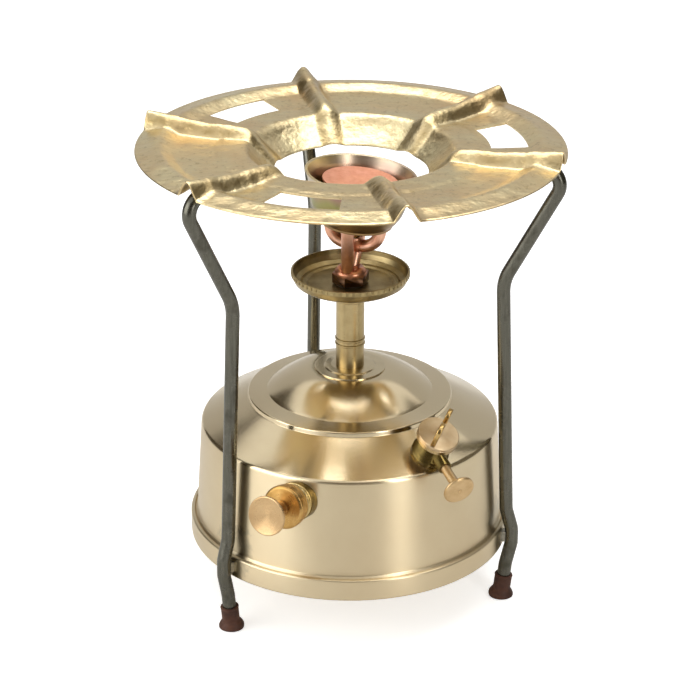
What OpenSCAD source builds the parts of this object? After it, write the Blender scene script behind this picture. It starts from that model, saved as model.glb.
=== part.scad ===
// Kerosene pressure stove: a round brass fuel tank with a hand pump and a screwed filler,
// a riser with a spirit cup, a copper-tube burner, and a pressed pot ring on three wire legs.
// Millimetres. Z is up, the feet stand on z = 0, and the tank's axis is the Z axis.
// The side with the pump and the filler faces -Y.

/* [Tank] */
// Height of the skirt's lower edge above the table
skirt_bottom = 30; // [22:0.5:40]
// Outer radius of the skirt round the tank's foot
skirt_r = 86; // [80:0.5:95]
// Height of the skirt band
skirt_h = 12.5; // [9:0.5:16]
// How far the skirt stands out past the foot of the wall
skirt_step = 3.4; // [2.5:0.1:5]
// Height of the wall between the skirt and the shoulder's edge
wall_h = 53; // [48:0.5:70]
// How much smaller the wall's radius is at the top than at the foot
wall_draft = 3.1; // [0.5:0.1:5]
// Rounding of the shoulder's edge
shoulder_round = 3; // [1.5:0.1:5]
// Rise of the sloping shoulder
shoulder_rise = 13.5; // [10:0.5:18]
// Outer radius of the raised band on the shoulder
band_r = 54.3; // [50:0.5:57]
// Height of the step up to the band
band_step = 2.5; // [1.5:0.1:4]
// Inner radius of the band
band_inner_r = 44.2; // [40:0.5:47]
// Rise of the dome inside the band
dome_rise = 11.5; // [8:0.5:15]
// Thickness of the tank's sheet
sheet_t = 0.8; // [0.6:0.1:1.2]

/* [Riser and spirit cup] */
// Outer radius of the riser tube
riser_r = 7.5; // [6.5:0.1:8]
// Height of the riser from the dome to the spirit cup
riser_h = 47.5; // [36:0.5:60]
// Bore radius of the riser
riser_bore_r = 5; // [4.6:0.1:5.2]
// Radius of the collar soldered on the dome
collar_r = 18.8; // [16:0.1:22]
// Outer radius of the dip tube inside the tank
dip_r = 4; // [3:0.1:4.3]
// Outer radius of the spirit cup's rim
spirit_r = 31.6; // [28:0.1:35]
// Depth of the spirit cup from rim to floor
spirit_depth = 6.9; // [5:0.1:8]
// Wall of the spirit cup
spirit_t = 0.9; // [0.7:0.1:1.2]
// Number of serrations round the spirit cup's rim
spirit_serrations = 60; // [30:1:80]

/* [Burner] */
// Width across flats of the burner's hexagonal foot
burner_flats = 17; // [16:0.5:20]
// Height of the hexagonal foot
burner_foot_h = 5.4; // [4:0.2:8]
// Height of the round block above the foot
burner_block_h = 2.8; // [2.2:0.2:6]
// Sideways lean of the burner's tubes and cup, in degrees
burner_lean = 5.8; // [0:0.2:7]
// Turn of the burner about its axis, in degrees
burner_turn = 18; // [0:1:30]
// Outer radius of the burner's copper tubes
tube_r = 3.3; // [2.8:0.1:3.4]
// Bore radius of the copper tubes
tube_bore_r = 2; // [1.5:0.1:2.2]
// Distance of the tubes from the burner's axis at the cup
tube_pitch_r = 13.6; // [13:0.1:14]
// Distance of the two rising tubes from the axis at the block
tube_root_r = 4.9; // [4.6:0.1:5]
// Length of the burner from the block's top to the cup's floor
burner_rise = 24.9; // [22:0.1:30]
// Rim radius of the burner cup
bell_r = 29.3; // [28:0.1:32]
// Height of the burner cup
bell_h = 27.5; // [26:0.5:32]
// Wall of the burner cup
bell_t = 2; // [1.6:0.1:2.4]
// Radius of the flame disc
disc_r = 19.9; // [19:0.1:21]
// Height of the flame disc's legs
disc_leg_h = 12; // [10:0.5:13]
// Bore radius of the jet
jet_bore_r = 0.25; // [0.15:0.05:0.5]

/* [Filler and air screw] */
// Distance of the filler's axis in from the shoulder's edge
filler_in = 10.2; // [9:0.1:12.5]
// Direction of the filler, in degrees counter-clockwise from +X
filler_az = 306.6; // [300:0.2:316]
// Outer radius of the filler neck
neck_r = 9.3; // [8.8:0.1:9.8]
// Bore radius of the filler neck
neck_bore_r = 6.2; // [5.6:0.1:6.6]
// Height of the filler neck above the shoulder
neck_h = 10.8; // [10.4:0.1:13]
// Radius of the filler cap
cap_r = 11; // [10:0.1:12]
// Thickness of the filler cap
cap_t = 4.6; // [3:0.1:5.4]
// Length of the cap's plug inside the neck
plug_len = 6; // [4:0.1:6.5]
// Rise of the filler cap in one turn
cap_pitch = 1.5; // [1:0.1:2]
// Height of the wing above the filler cap
wing_h = 12.5; // [9:0.5:15]
// Thickness of the wing
wing_t = 2.4; // [1.8:0.1:3]
// Direction of the air screw, in degrees counter-clockwise from +X
air_az = 295; // [290:0.5:300]
// Downward slope of the air screw, in degrees
air_dip = 18; // [16:0.5:24]
// Distance of the air screw's face from the filler's axis
air_reach = 33.4; // [30:0.2:38]
// Radius of the air screw's stem
air_stem_r = 2.7; // [2.3:0.1:3]
// Radius of the air screw's head
air_head_r = 8.3; // [6.5:0.1:9]

/* [Pump] */
// Direction in which the pump points outward, in degrees counter-clockwise from +X
pump_az = 242; // [240:0.5:243]
// Upward slope of the pump, in degrees
pump_tilt = 9.5; // [7:0.5:11]
// Direction of the place where the pump meets the wall, in degrees
pump_place_az = 251; // [250:0.5:253]
// Height of the pump's axis at the wall
pump_z = 84; // [82.5:0.5:84.5]
// Outer radius of the pump barrel
barrel_r = 8.5; // [8:0.1:8.8]
// Wall of the pump barrel
barrel_t = 0.8; // [0.6:0.1:1]
// Length of the pump barrel inside the wall
barrel_len = 72; // [64:0.5:74]
// Radius of the pump cap
pump_cap_r = 11.4; // [10.8:0.1:12]
// Length of the pump cap
pump_cap_len = 9; // [8:0.5:12]
// Radius of the pump rod
rod_r = 2.4; // [2:0.1:2.6]
// Radius of the pump knob
knob_r = 10.3; // [9:0.1:12]
// Length of the pump knob with its stem
knob_len = 15.5; // [13:0.5:18]
// Stroke of the pump
pump_stroke = 48; // [38:1:50]
// Travel of the non-return valve
valve_travel = 1; // [0.6:0.1:1.4]

/* [Stand] */
// Radius of the leg rod
leg_r = 3.6; // [3:0.1:4]
// Gap between each leg and the skirt, filled by the solder pad
leg_gap = 1.4; // [0.8:0.1:2]
// Direction of the leg at the back, in degrees; the others follow at 120 degrees
leg_az = 104; // [100:0.5:106]
// How far the foot stands out past the skirt
foot_out = 0.4; // [-2:0.2:4]
// How far in from the skirt the leg's waist lies
waist_in = 4; // [0:0.2:5]
// Height of the leg's waist
waist_z = 184; // [176:1:196]
// Height of the rubber boot
boot_h = 13; // [10:0.5:16]
// Radius of the rubber boot's tube
boot_r = 4.7; // [4.6:0.1:5.4]
// Radius of the rubber boot's flared sole
boot_sole_r = 6.7; // [5.8:0.1:7.5]

/* [Pot ring] */
// Outer radius of the pot ring
ring_r = 111; // [105:0.5:118]
// Radius of the pot ring's centre hole
ring_hole_r = 40; // [37:0.5:44]
// Radius of the crest round the hole
ring_crest_r = 55; // [52:0.5:57]
// Height of the ring's flat zone above the table
ring_z = 248; // [244:0.2:256]
// Depth of the cone from the crest down to the hole
ring_cone_h = 12.6; // [10:0.2:16]
// Height of the rolled bead inside the rim
ring_bead_h = 3; // [1.5:0.1:4]
// Fall of the rim from the bead to its edge
ring_rim_drop = 2.2; // [1:0.1:4]
// Height of the pinched ridges that carry the pot
ridge_h = 8.5; // [6:0.5:9.5]
// Half of a ridge's width at its foot
ridge_half_w = 7; // [6.5:0.5:9]
// Thickness of the ring's sheet
ring_t = 1; // [0.8:0.1:1.3]
// Inner radius of the three windows
window_in_r = 72; // [70:0.5:76]
// Outer radius of the three windows
window_out_r = 91; // [86:0.5:93]
// Angle between a window's side and the nearest ridge, in degrees
window_side = 17.5; // [14:0.5:20]

/* [Hidden] */
$fn = 72;

brass = "#cdb987";
dull_brass = "#8f7d4a";
gold_brass = "#c09040";
copper = "#b9714f";
steel = "#6f6b5d";
rubber = "#4d2e20";
leather = "#5b4630";

fit = 0.05;          // radial clearance of a fixed plug in its hole
slide_fit = 0.08;    // radial clearance of a piece that slides or turns
skin = 0.02;         // clearance of a piece shaped to lie on a curved face
gasket_t = 0.8;      // thickness of the sealing washers
edge = 0.6;          // small rounding and chamfer

// ---- shared helpers -------------------------------------------------------------------------

// Points on an arc round c, from angle a0 to a1 in n steps
function arc(c, r, a0, a1, n = 6) = [for (i = [0:n]) c + r * [cos(a0 + (a1 - a0) * i / n),
    sin(a0 + (a1 - a0) * i / n)]];
function unit(v) = v / norm(v);
function left_of(v) = [-v[1], v[0]];
// Mitred normal on the left of a line of points, at point i
function left_normal(line, i) =
    let (last = len(line) - 1,
        before = left_of(unit(line[max(i, 1)] - line[max(i, 1) - 1])),
        after = left_of(unit(line[min(i, last - 1) + 1] - line[min(i, last - 1)])))
    (before + after) / (1 + before * after);
// Closed section of a sheet of thickness t that lies on the left of a line
function sheet_section(line, t) = concat(line,
    [for (i = [len(line) - 1:-1:0]) line[i] + t * left_normal(line, i)]);

module tube(r, bore, h) {
    linear_extrude(h) difference() {
        circle(r);
        circle(bore);
    }
}

// A piece that lies along its own +Z is set pointing to an azimuth and an elevation
module aim(az, elevation) {
    rotate([0, 90 - elevation, az]) children();
}

// ---- tank -----------------------------------------------------------------------------------

skirt_top = skirt_bottom + skirt_h;
wall_foot_r = skirt_r - skirt_step;
wall_top_r = wall_foot_r - wall_draft;
shoulder_z = skirt_top + wall_h;
band_z = shoulder_z + shoulder_rise;
band_rise = 1.7;
band_top = band_z + band_step;
dome_foot = band_top + band_rise;
dome_top = dome_foot + dome_rise;
shell_foot_r = skirt_r - sheet_t - fit;
shell_foot_z = skirt_bottom + sheet_t + edge;
joggle_z = skirt_top - 2.2;
bush_spigot_r = riser_r + 2;
bush_spigot_h = 7;
shoulder_slope = atan(shoulder_rise / (wall_top_r - band_r));
shoulder_run = [-cos(shoulder_slope), sin(shoulder_slope)];
shoulder_edge = [wall_top_r, shoulder_z];
// Inward normals of the wall and of the shoulder meet at the edge's rounding
wall_lean = atan(wall_draft / wall_h);
edge_turn = 90 - wall_lean - shoulder_slope;
edge_cut = shoulder_round * tan(edge_turn / 2);
wall_run = [-sin(wall_lean), cos(wall_lean)];
edge_start = shoulder_edge - edge_cut * wall_run;
edge_centre = edge_start + shoulder_round * left_of(wall_run);

tank_line = concat(
    [[shell_foot_r, shell_foot_z], [shell_foot_r, joggle_z], [wall_foot_r, skirt_top + 0.6]],
    arc(edge_centre, shoulder_round, wall_lean, wall_lean + edge_turn),
    [[band_r + 1.4, band_z - 0.6], [band_r + 0.3, band_z]],
    arc([band_r - edge, band_top - edge], edge, 0, 75, 3),
    [[band_inner_r, dome_foot - 0.6], [band_inner_r - 0.5, dome_foot]],
    [for (s = [0.125:0.125:1]) [band_inner_r - 0.5 - (band_inner_r - 0.5 - collar_r - 1) * s,
        dome_foot + dome_rise * (1 - pow(1 - s, 1.6))]],
    [[bush_spigot_r + fit, dome_top]]);

module tank_outside(grow) {
    rotate_extrude($fn = 120) polygon(concat([[0, skirt_bottom]],
        [for (i = [0:len(tank_line) - 1]) tank_line[i] - grow * left_normal(tank_line, i)],
        [[0, dome_top + grow]]));
}

module tank_shell() {
    color(brass) difference() {
        rotate_extrude($fn = 120) polygon(sheet_section(tank_line, sheet_t));
        on_pump() translate([0, 0, -pump_hole_depth]) cylinder(r = barrel_r + fit, h = 3 * pump_hole_depth / 2);
        on_filler() translate([0, 0, -neck_spigot_h]) cylinder(r = neck_spigot_r + fit, h = 2 * neck_spigot_h);
    }
}

module tank_bottom() {
    floor_dish = 3;
    line = concat([[0, skirt_bottom + floor_dish], [skirt_r - 22, skirt_bottom + floor_dish],
            [skirt_r - 12, skirt_bottom]],
        arc([skirt_r - 1.5, skirt_bottom + 1.5], 1.5, -90, 0, 4),
        arc([skirt_r - 2, skirt_top - 2.4], 2, 0, 60, 4));
    color(brass) rotate_extrude($fn = 120) polygon(concat(line,
        [for (i = [len(line) - 1:-1:0]) line[i] + sheet_t * left_normal(line, i)]));
}

module riser_bush() {
    collar_t = 0.8;
    inner_r = 13.4;
    color(brass) rotate_extrude() polygon([
        [riser_r + fit, dome_top - bush_spigot_h], [bush_spigot_r, dome_top - bush_spigot_h],
        [bush_spigot_r, dome_top], [collar_r, dome_top], [collar_r, dome_top + collar_t / 2],
        [collar_r - collar_t / 2, dome_top + collar_t], [inner_r + edge, dome_top + collar_t],
        [inner_r, dome_top + collar_t + edge], [bush_spigot_r + 0.4, dome_top + 2],
        [riser_r + fit, dome_top + 2]]);
}

// ---- riser and spirit cup -------------------------------------------------------------------

riser_foot = dome_top - bush_spigot_h;
riser_top = dome_top + riser_h;
cup_seat = riser_top;
spigot_r = riser_bore_r - fit;

module riser_tube() {
    bead = 0.5;
    bead_h = 1.6;
    dip_socket = 6;
    // Turned rings stand under the cup and at the lower third
    rings = [riser_h * 0.30, riser_h * 0.36, riser_h - 8, riser_h - 5, riser_h - 2];
    color(dull_brass) union() {
        translate([0, 0, riser_foot]) difference() {
            cylinder(r = riser_r, h = riser_top - riser_foot);
            translate([0, 0, dip_socket]) cylinder(r = riser_bore_r, h = riser_top);
            translate([0, 0, -1]) cylinder(r = dip_r + fit, h = dip_socket + 2);
        }
        for (z = rings) translate([0, 0, dome_top + z])
            rotate_extrude() polygon([[riser_r - 0.5, -bead_h / 2], [riser_r, -bead_h / 2],
                [riser_r + bead, -bead_h / 6], [riser_r + bead, bead_h / 6],
                [riser_r, bead_h / 2], [riser_r - 0.5, bead_h / 2]]);
    }
}

module dip_tube() {
    wall = 0.7;
    foot_gap = 4;
    foot_z = skirt_bottom + 3 + sheet_t + foot_gap;
    color(dull_brass) translate([0, 0, foot_z]) difference() {
        tube(dip_r, dip_r - wall, riser_foot + 6 - foot_z);
        // The mouth is cut askew, so that the tank's floor can't close it
        translate([0, 0, -dip_r]) rotate([0, 30, 0]) translate([-3 * dip_r, -2 * dip_r, -3 * dip_r])
            cube([6 * dip_r, 4 * dip_r, 3 * dip_r + 2]);
    }
}

spirit_floor = cup_seat + spirit_t;
spirit_rim = spirit_floor + spirit_depth;

module spirit_cup() {
    floor_r = spirit_r - 6.8;
    bead_r = floor_r - 0.4;
    rim_line = [[spigot_r + 2 * fit, cup_seat], [floor_r - 2.4, cup_seat],
        [bead_r - 0.8, cup_seat + 0.9], [bead_r + 0.6, cup_seat + 0.9], [floor_r + 1.6, cup_seat + 0.3],
        [spirit_r - 2.2, cup_seat + 2.2], [spirit_r - 0.8, spirit_rim - 2.6],
        [spirit_r - 0.4, spirit_rim]];
    tooth = 0.9;
    color(dull_brass) union() {
        rotate_extrude() polygon(sheet_section(rim_line, spirit_t));
        for (i = [0:spirit_serrations - 1]) rotate([0, 0, 360 * i / spirit_serrations])
            translate([spirit_r - 1.1, -tooth / 2, spirit_rim - 2.4]) cube([1.1, tooth, 2.4]);
    }
}

burner_seat = spirit_floor + gasket_t;

module burner_gasket() {
    color(leather) translate([0, 0, spirit_floor]) tube(burner_flats / 2 - 0.5, spigot_r + 2 * fit, gasket_t);
}

// ---- burner ---------------------------------------------------------------------------------

block_top = burner_seat + burner_foot_h + burner_block_h;
spigot_len = 9;
socket_depth = 3;
cup_floor_z = burner_rise;
jet_z = cup_floor_z - 12;
loop_bend_r = 9.4;

// The tubes, the jet and the cup lean and turn together about the block's top
module burner_frame() {
    translate([0, 0, block_top]) rotate([0, burner_lean, 0]) rotate([0, 0, -burner_turn]) children();
}

module burner_base() {
    block_r = burner_flats / 2 - 0.2;
    color(copper) difference() {
        union() {
            translate([0, 0, burner_seat - spigot_len]) cylinder(r = spigot_r, h = spigot_len);
            translate([0, 0, burner_seat]) rotate([0, 0, 12])
                cylinder(d = burner_flats / cos(30), h = burner_foot_h, $fn = 6);
            translate([0, 0, burner_seat + burner_foot_h]) rotate_extrude() polygon([[0, 0], [block_r, 0],
                [block_r, burner_block_h - 2], [block_r - 1.6, burner_block_h], [0, burner_block_h]]);
        }
        translate([0, 0, burner_seat - spigot_len - 1])
            cylinder(r = 3, h = spigot_len + 1 + burner_foot_h + burner_block_h - socket_depth - 1);
        for (side = [-1, 1]) upright_place(side) {
            translate([0, 0, -socket_depth]) cylinder(r = tube_r + fit, h = socket_depth + 4);
            translate([0, 0, -socket_depth - 6.2]) cylinder(r = 1.3, h = 7);
        }
    }
}

// A rising tube runs from its socket in the block to its socket in the cup's floor
upright_lean = atan((tube_pitch_r - tube_root_r) / cup_floor_z);
upright_len = norm([tube_pitch_r - tube_root_r, cup_floor_z]);

module upright_place(side) {
    burner_frame() translate([0, side * tube_root_r, 0]) rotate([-side * upright_lean, 0, 0]) children();
}

module upright(side) {
    color(copper) upright_place(side) translate([0, 0, -socket_depth])
        tube(tube_r, tube_bore_r, socket_depth + upright_len + 1);
}

module upright_front() upright(-1);
module upright_back() upright(1);

// A return tube comes down from the cup and turns in under it to the jet holder
module loop(side) {
    color(copper) burner_frame() rotate([0, 0, side > 0 ? 0 : 180]) union() {
        translate([tube_pitch_r, 0, jet_z + loop_bend_r])
            tube(tube_r, tube_bore_r, cup_floor_z + 1 - jet_z - loop_bend_r);
        translate([tube_pitch_r - loop_bend_r, 0, jet_z + loop_bend_r]) rotate([90, 0, 0])
            rotate([0, 0, -90]) rotate_extrude(angle = 90) translate([loop_bend_r, 0]) difference() {
                circle(tube_r);
                circle(tube_bore_r);
            }
        translate([jet_holder_half - 0.8, 0, jet_z]) rotate([0, 90, 0])
            tube(tube_r, tube_bore_r, tube_pitch_r - loop_bend_r - jet_holder_half + 0.8);
    }
}

module loop_left() loop(-1);
module loop_right() loop(1);

jet_holder_r = 4;
jet_holder_half = 4.6;
jet_holder_high = 4.2;
nipple_r = 2.6;
nipple_h = 6.6;
nipple_thread_r = 1.7;

module jet_holder() {
    color(copper) burner_frame() translate([0, 0, jet_z]) difference() {
        union() {
            rotate([0, 90, 0]) cylinder(r = jet_holder_r, h = 2 * jet_holder_half, center = true);
            cylinder(r = jet_holder_r - 0.4, h = jet_holder_high);
        }
        for (a = [0, 180]) rotate([0, 90, a]) {
            translate([0, 0, jet_holder_half - 0.8 - fit]) cylinder(r = tube_r + fit, h = 3);
            cylinder(r = 1.2, h = jet_holder_half);
        }
        cylinder(r = nipple_thread_r + fit, h = jet_holder_high + 1);
    }
}

module jet_nipple() {
    color(gold_brass) burner_frame() translate([0, 0, jet_z + jet_holder_high]) difference() {
        union() {
            translate([0, 0, -2.4]) cylinder(r = nipple_thread_r, h = 2.6);
            cylinder(r = nipple_r / cos(30), h = 3, $fn = 6);
            translate([0, 0, 3]) cylinder(r1 = nipple_r - 0.2, r2 = 1.2, h = nipple_h - 3, $fn = 36);
        }
        translate([0, 0, -3]) cylinder(r = 0.9, h = nipple_h + 1.5);
        cylinder(r = jet_bore_r, h = nipple_h + 1, $fn = 24);
    }
}

// Seat inside the cup for the flame disc's legs
ledge_z = 10.2;
ledge_in_r = 17.8;
throat_r = 7.6;
floor_t = 7;

module burner_cup() {
    foot_r = tube_pitch_r + tube_r + 2.4;
    body_r = bell_r - 4.6;
    outside = [[throat_r, 0], [foot_r - 0.6, 0], [foot_r, 0.6], [foot_r + 0.2, 1.4],
        [body_r - 3.3, 3.6], [body_r - 1.2, 7], [body_r, 10.6], [body_r + 0.8, 15], [body_r + 1.6, 19.4],
        [body_r + 2.8, 23], [bell_r - 0.5, bell_h - 1.2], [bell_r, bell_h - 0.8], [bell_r, bell_h - 0.3]];
    inside = [[bell_r - 0.4, bell_h], [bell_r - 1.2, bell_h - 0.3], [bell_r - 2, bell_h - 1.6],
        [body_r + 3.1 - bell_t, 23], [body_r + 1.8 - bell_t, 19.4], [body_r + 1 - bell_t, 15],
        [body_r - 0.4 - bell_t, ledge_z + 1.2], [body_r - 1.6 - bell_t, ledge_z],
        [ledge_in_r, ledge_z - 0.1], [ledge_in_r - 0.6, ledge_z - 0.8],
        [throat_r + 2.4, floor_t + 0.6], [throat_r, floor_t]];
    color(gold_brass) burner_frame() translate([0, 0, cup_floor_z]) difference() {
        rotate_extrude() polygon(concat(outside, inside));
        for (side = [-1, 1]) translate([side * tube_pitch_r, 0, -1]) cylinder(r = tube_r + fit, h = 1 + 1 + fit);
        for (side = [-1, 1]) translate([0, side * tube_root_r, -cup_floor_z])
            rotate([-side * upright_lean, 0, 0])
                translate([0, 0, upright_len - 4]) cylinder(r = tube_r + fit, h = 5 + fit);
        // The gas passes from the rising tubes to the return tubes through a ring-shaped gallery
        translate([0, 0, 2.2]) rotate_extrude() translate([tube_pitch_r, 0]) circle(r = 1.3, $fn = 24);
    }
}

module flame_disc() {
    seat_z = cup_floor_z + ledge_z;
    disc_t = 1.6;
    dish = 1.2;
    leg_w = 3;
    leg_t = 1.6;
    leg_at = disc_r - 1;
    color(copper) burner_frame() translate([0, 0, seat_z]) union() {
        translate([0, 0, disc_leg_h]) rotate_extrude() polygon([[0, -dish], [disc_r * 0.45, -dish],
            [disc_r * 0.8, -dish * 0.3], [disc_r - 0.5, 0], [disc_r, 0.5], [disc_r, disc_t - 0.3],
            [disc_r - 0.4, disc_t], [disc_r * 0.8, disc_t - dish * 0.3],
            [disc_r * 0.45, disc_t - dish], [0, disc_t - dish]]);
        for (a = [30, 150, 270]) rotate([0, 0, a]) translate([leg_at - leg_t / 2, -leg_w / 2, 0])
            cube([leg_t, leg_w, disc_leg_h + 0.3]);
    }
}

// ---- filler and air screw -------------------------------------------------------------------

filler_dist = wall_top_r - filler_in;
filler_z = shoulder_z + filler_in * tan(shoulder_slope);
neck_spigot_r = neck_r - 1.5;
neck_spigot_h = 4;
stub_h = 4.6;        // height of the air screw's axis on the neck
stub_r = 3.6;
stub_len = 16;
air_screw_tip = 8.4;
air_seat_r = 1.1;

module on_filler() {
    translate([filler_dist * cos(filler_az), filler_dist * sin(filler_az), filler_z])
        rotate([0, shoulder_slope, filler_az]) children();
}

module on_air_screw() {
    spot = [filler_dist * cos(filler_az), filler_dist * sin(filler_az), filler_z];
    up = stub_h * [sin(shoulder_slope) * cos(filler_az), sin(shoulder_slope) * sin(filler_az),
        cos(shoulder_slope)];
    translate(spot + up) aim(air_az, -air_dip) children();
}

module filler_neck() {
    flange_r = neck_r + 0.6;
    flange_h = 2.2;
    color(dull_brass) difference() {
        union() {
            difference() {
                on_filler() translate([0, 0, -2]) cylinder(r = flange_r, h = flange_h + 2);
                tank_outside(skin);
            }
            on_filler() translate([0, 0, -neck_spigot_h]) cylinder(r = neck_spigot_r, h = neck_spigot_h + 1);
            on_filler() translate([0, 0, 1]) cylinder(r = neck_r, h = neck_h - 1);
            on_air_screw() translate([0, 0, neck_spigot_r]) cylinder(r = stub_r, h = stub_len - neck_spigot_r);
        }
        on_filler() translate([0, 0, -neck_spigot_h - 1]) cylinder(r = neck_bore_r, h = neck_h + neck_spigot_h + 2);
        on_air_screw() translate([0, 0, air_screw_tip]) cylinder(r = air_stem_r + slide_fit, h = stub_len);
        on_air_screw() cylinder(r = air_seat_r, h = stub_len);
    }
}

cap_seat = neck_h + gasket_t;

module filler_gasket() {
    color(leather) on_filler() translate([0, 0, neck_h]) tube(neck_r - 0.3, neck_bore_r - 0.3, gasket_t);
}

cap_top = cap_seat + cap_t;
wing_slot = 1;
// The wing stands across the cap, turned from the slope's fall line
wing_turn = -55;

module filler_cap() {
    plug_r = neck_bore_r - 0.35;
    color(gold_brass) on_filler() difference() {
        union() {
            translate([0, 0, cap_seat]) rotate_extrude() polygon([[0, 0], [cap_r - 0.5, 0], [cap_r, 0.5],
                [cap_r, cap_t - 1.4], [cap_r - 0.4, cap_t - 1.1], [cap_r, cap_t - 0.8],
                [cap_r, cap_t - 0.3], [cap_r - 0.3, cap_t], [0, cap_t]]);
            translate([0, 0, cap_seat - plug_len]) cylinder(r = plug_r, h = plug_len + 0.5);
        }
        rotate([0, 0, wing_turn]) translate([-cap_r + 1 - fit, -wing_t / 2 - fit, cap_top - wing_slot])
            cube([2 * (cap_r - 1 + fit), wing_t + 2 * fit, wing_slot + 1]);
    }
}

module filler_wing() {
    half = cap_r - 1;
    ear = 5;
    color(gold_brass) on_filler() translate([0, 0, cap_top - wing_slot]) rotate([0, 0, wing_turn])
        rotate([90, 0, 0]) linear_extrude(wing_t, center = true) polygon(concat([[-half, 0], [half, 0]],
            [[half, wing_slot + fit], [half + 0.6, wing_slot + 1]],
            arc([half - ear + 1, wing_h + wing_slot - ear], ear, -10, 140, 8),
            arc([0, wing_h + wing_slot - 3.4], 3.6, -50, -130, 5),
            arc([-half + ear - 1, wing_h + wing_slot - ear], ear, 40, 190, 8),
            [[-half - 0.6, wing_slot + 1], [-half, wing_slot + fit]]));
}

module air_screw() {
    head_t = 2.4;
    tip_h = 1.6;
    dimple_r = 1.1;
    head_at = air_reach - head_t;
    color(gold_brass) on_air_screw() difference() {
        union() {
            translate([0, 0, air_screw_tip + tip_h + slide_fit])
                cylinder(r = air_stem_r, h = head_at - air_screw_tip - tip_h);
            translate([0, 0, air_screw_tip + slide_fit])
                cylinder(r1 = air_seat_r - 0.3, r2 = air_stem_r - 0.4, h = tip_h, $fn = 36);
            translate([0, 0, head_at]) rotate_extrude() polygon([[0, 0], [air_head_r - 1, 0],
                [air_head_r, 0.8], [air_head_r, head_t - 0.9], [air_head_r - 0.9, head_t], [0, head_t]]);
        }
        translate([0, 0, air_reach - 0.5]) cylinder(r = dimple_r, h = 1);
    }
}

// ---- pump -----------------------------------------------------------------------------------

pump_hole_depth = 20;
barrel_out = 7.4;        // the barrel's thread outside the wall
boss_r = 10.2;
boss_h = 3.4;
barrel_bore_r = barrel_r - barrel_t;
pump_wall_r = wall_foot_r - (pump_z - skirt_top) * wall_draft / wall_h;
cap_foot = barrel_out + gasket_t;
cap_face = cap_foot + pump_cap_len;
cap_web = 2.2;

module on_pump() {
    translate([pump_wall_r * cos(pump_place_az), pump_wall_r * sin(pump_place_az), pump_z])
        aim(pump_az, pump_tilt) children();
}

module pump_boss() {
    color(dull_brass) difference() {
        on_pump() translate([0, 0, -4]) cylinder(r = boss_r, h = boss_h + 4);
        on_pump() translate([0, 0, -5]) cylinder(r = barrel_r + fit, h = boss_h + 10);
        tank_outside(skin);
    }
}

module pump_barrel() {
    groove = 0.35;
    ring_r_out = boss_r - 0.2;
    color(gold_brass) on_pump() difference() {
        union() {
            translate([0, 0, -barrel_len]) cylinder(r = barrel_r, h = barrel_len + barrel_out);
            // Screwed collar between the boss and the cap
            translate([0, 0, boss_h + 0.02]) rotate_extrude() polygon([[barrel_r - 0.4, 0],
                [ring_r_out, 0], [ring_r_out, 1.5], [ring_r_out - groove, 1.8],
                [ring_r_out - groove, 2.2], [ring_r_out, 2.5], [ring_r_out, barrel_out - boss_h - 0.02],
                [barrel_r - 0.4, barrel_out - boss_h - 0.02]]);
        }
        translate([0, 0, -barrel_len - 1]) cylinder(r = barrel_bore_r, h = barrel_len + barrel_out + 2);
    }
}

module pump_gasket() {
    color(leather) on_pump() translate([0, 0, barrel_out]) tube(boss_r - 0.4, barrel_bore_r + 0.2, gasket_t);
}

module pump_cap() {
    plug_r = barrel_bore_r - fit;
    plug = 6;
    r = pump_cap_r;
    color(gold_brass) on_pump() difference() {
        union() {
            translate([0, 0, cap_foot]) rotate_extrude() polygon([[0, 0], [r - 1.2, 0], [r - 0.6, 0.6],
                [r - 0.6, 1.4], [r - 1, 1.7], [r - 0.6, 2], [r - 0.6, 2.8], [r - 1, 3.1], [r - 0.4, 3.6],
                [r, 4.4], [r, pump_cap_len - 1.2], [r - 0.5, pump_cap_len - 0.5], [4, pump_cap_len],
                [0, pump_cap_len]]);
            translate([0, 0, cap_foot - plug]) cylinder(r = plug_r, h = plug + 1);
        }
        translate([0, 0, cap_foot - plug - 1]) cylinder(r = barrel_bore_r - 2, h = plug + pump_cap_len - cap_web + 1);
        translate([0, 0, cap_foot - plug]) cylinder(r = rod_r + slide_fit, h = plug + pump_cap_len + 1);
    }
}

// Distances along the pump, outward from the wall; the rod is pushed home
knob_foot = cap_face + 0.6;
leather_len = 6;
washer_t = 1.6;
nut_t = 2.6;
valve_room = 4;
rod_end = -barrel_len + valve_room + 1.2;
plunger_at = rod_end + 0.8;

module pump_rod() {
    step_r = rod_r - 0.6;
    step_at = plunger_at + nut_t + leather_len + washer_t;
    color(dull_brass) on_pump() union() {
        translate([0, 0, rod_end]) cylinder(r = step_r, h = knob_foot + 6 - rod_end);
        translate([0, 0, step_at]) cylinder(r = rod_r, h = knob_foot - step_at);
    }
}

module pump_knob() {
    hub_r = 4.2;
    face_dish = 1.8;
    rim_t = 1.6;
    color(gold_brass) on_pump() translate([0, 0, knob_foot]) difference() {
        rotate_extrude() polygon([[0, 0], [hub_r, 0], [hub_r, 2], [hub_r + 0.6, 4.5],
            [knob_r - 3.4, knob_len - rim_t - 3], [knob_r - 0.3, knob_len - rim_t],
            [knob_r, knob_len - rim_t + 0.4], [knob_r, knob_len - 0.4], [knob_r - 0.5, knob_len],
            [0, knob_len - face_dish]]);
        translate([0, 0, -1]) cylinder(r = rod_r - 0.6 + fit, h = 7 + fit);
    }
}

module plunger_nut() {
    color(dull_brass) on_pump() translate([0, 0, plunger_at]) difference() {
        cylinder(r = 4.6, h = nut_t, $fn = 6);
        translate([0, 0, -1]) cylinder(r = rod_r - 0.6 + fit, h = nut_t + 2);
    }
}

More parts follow.
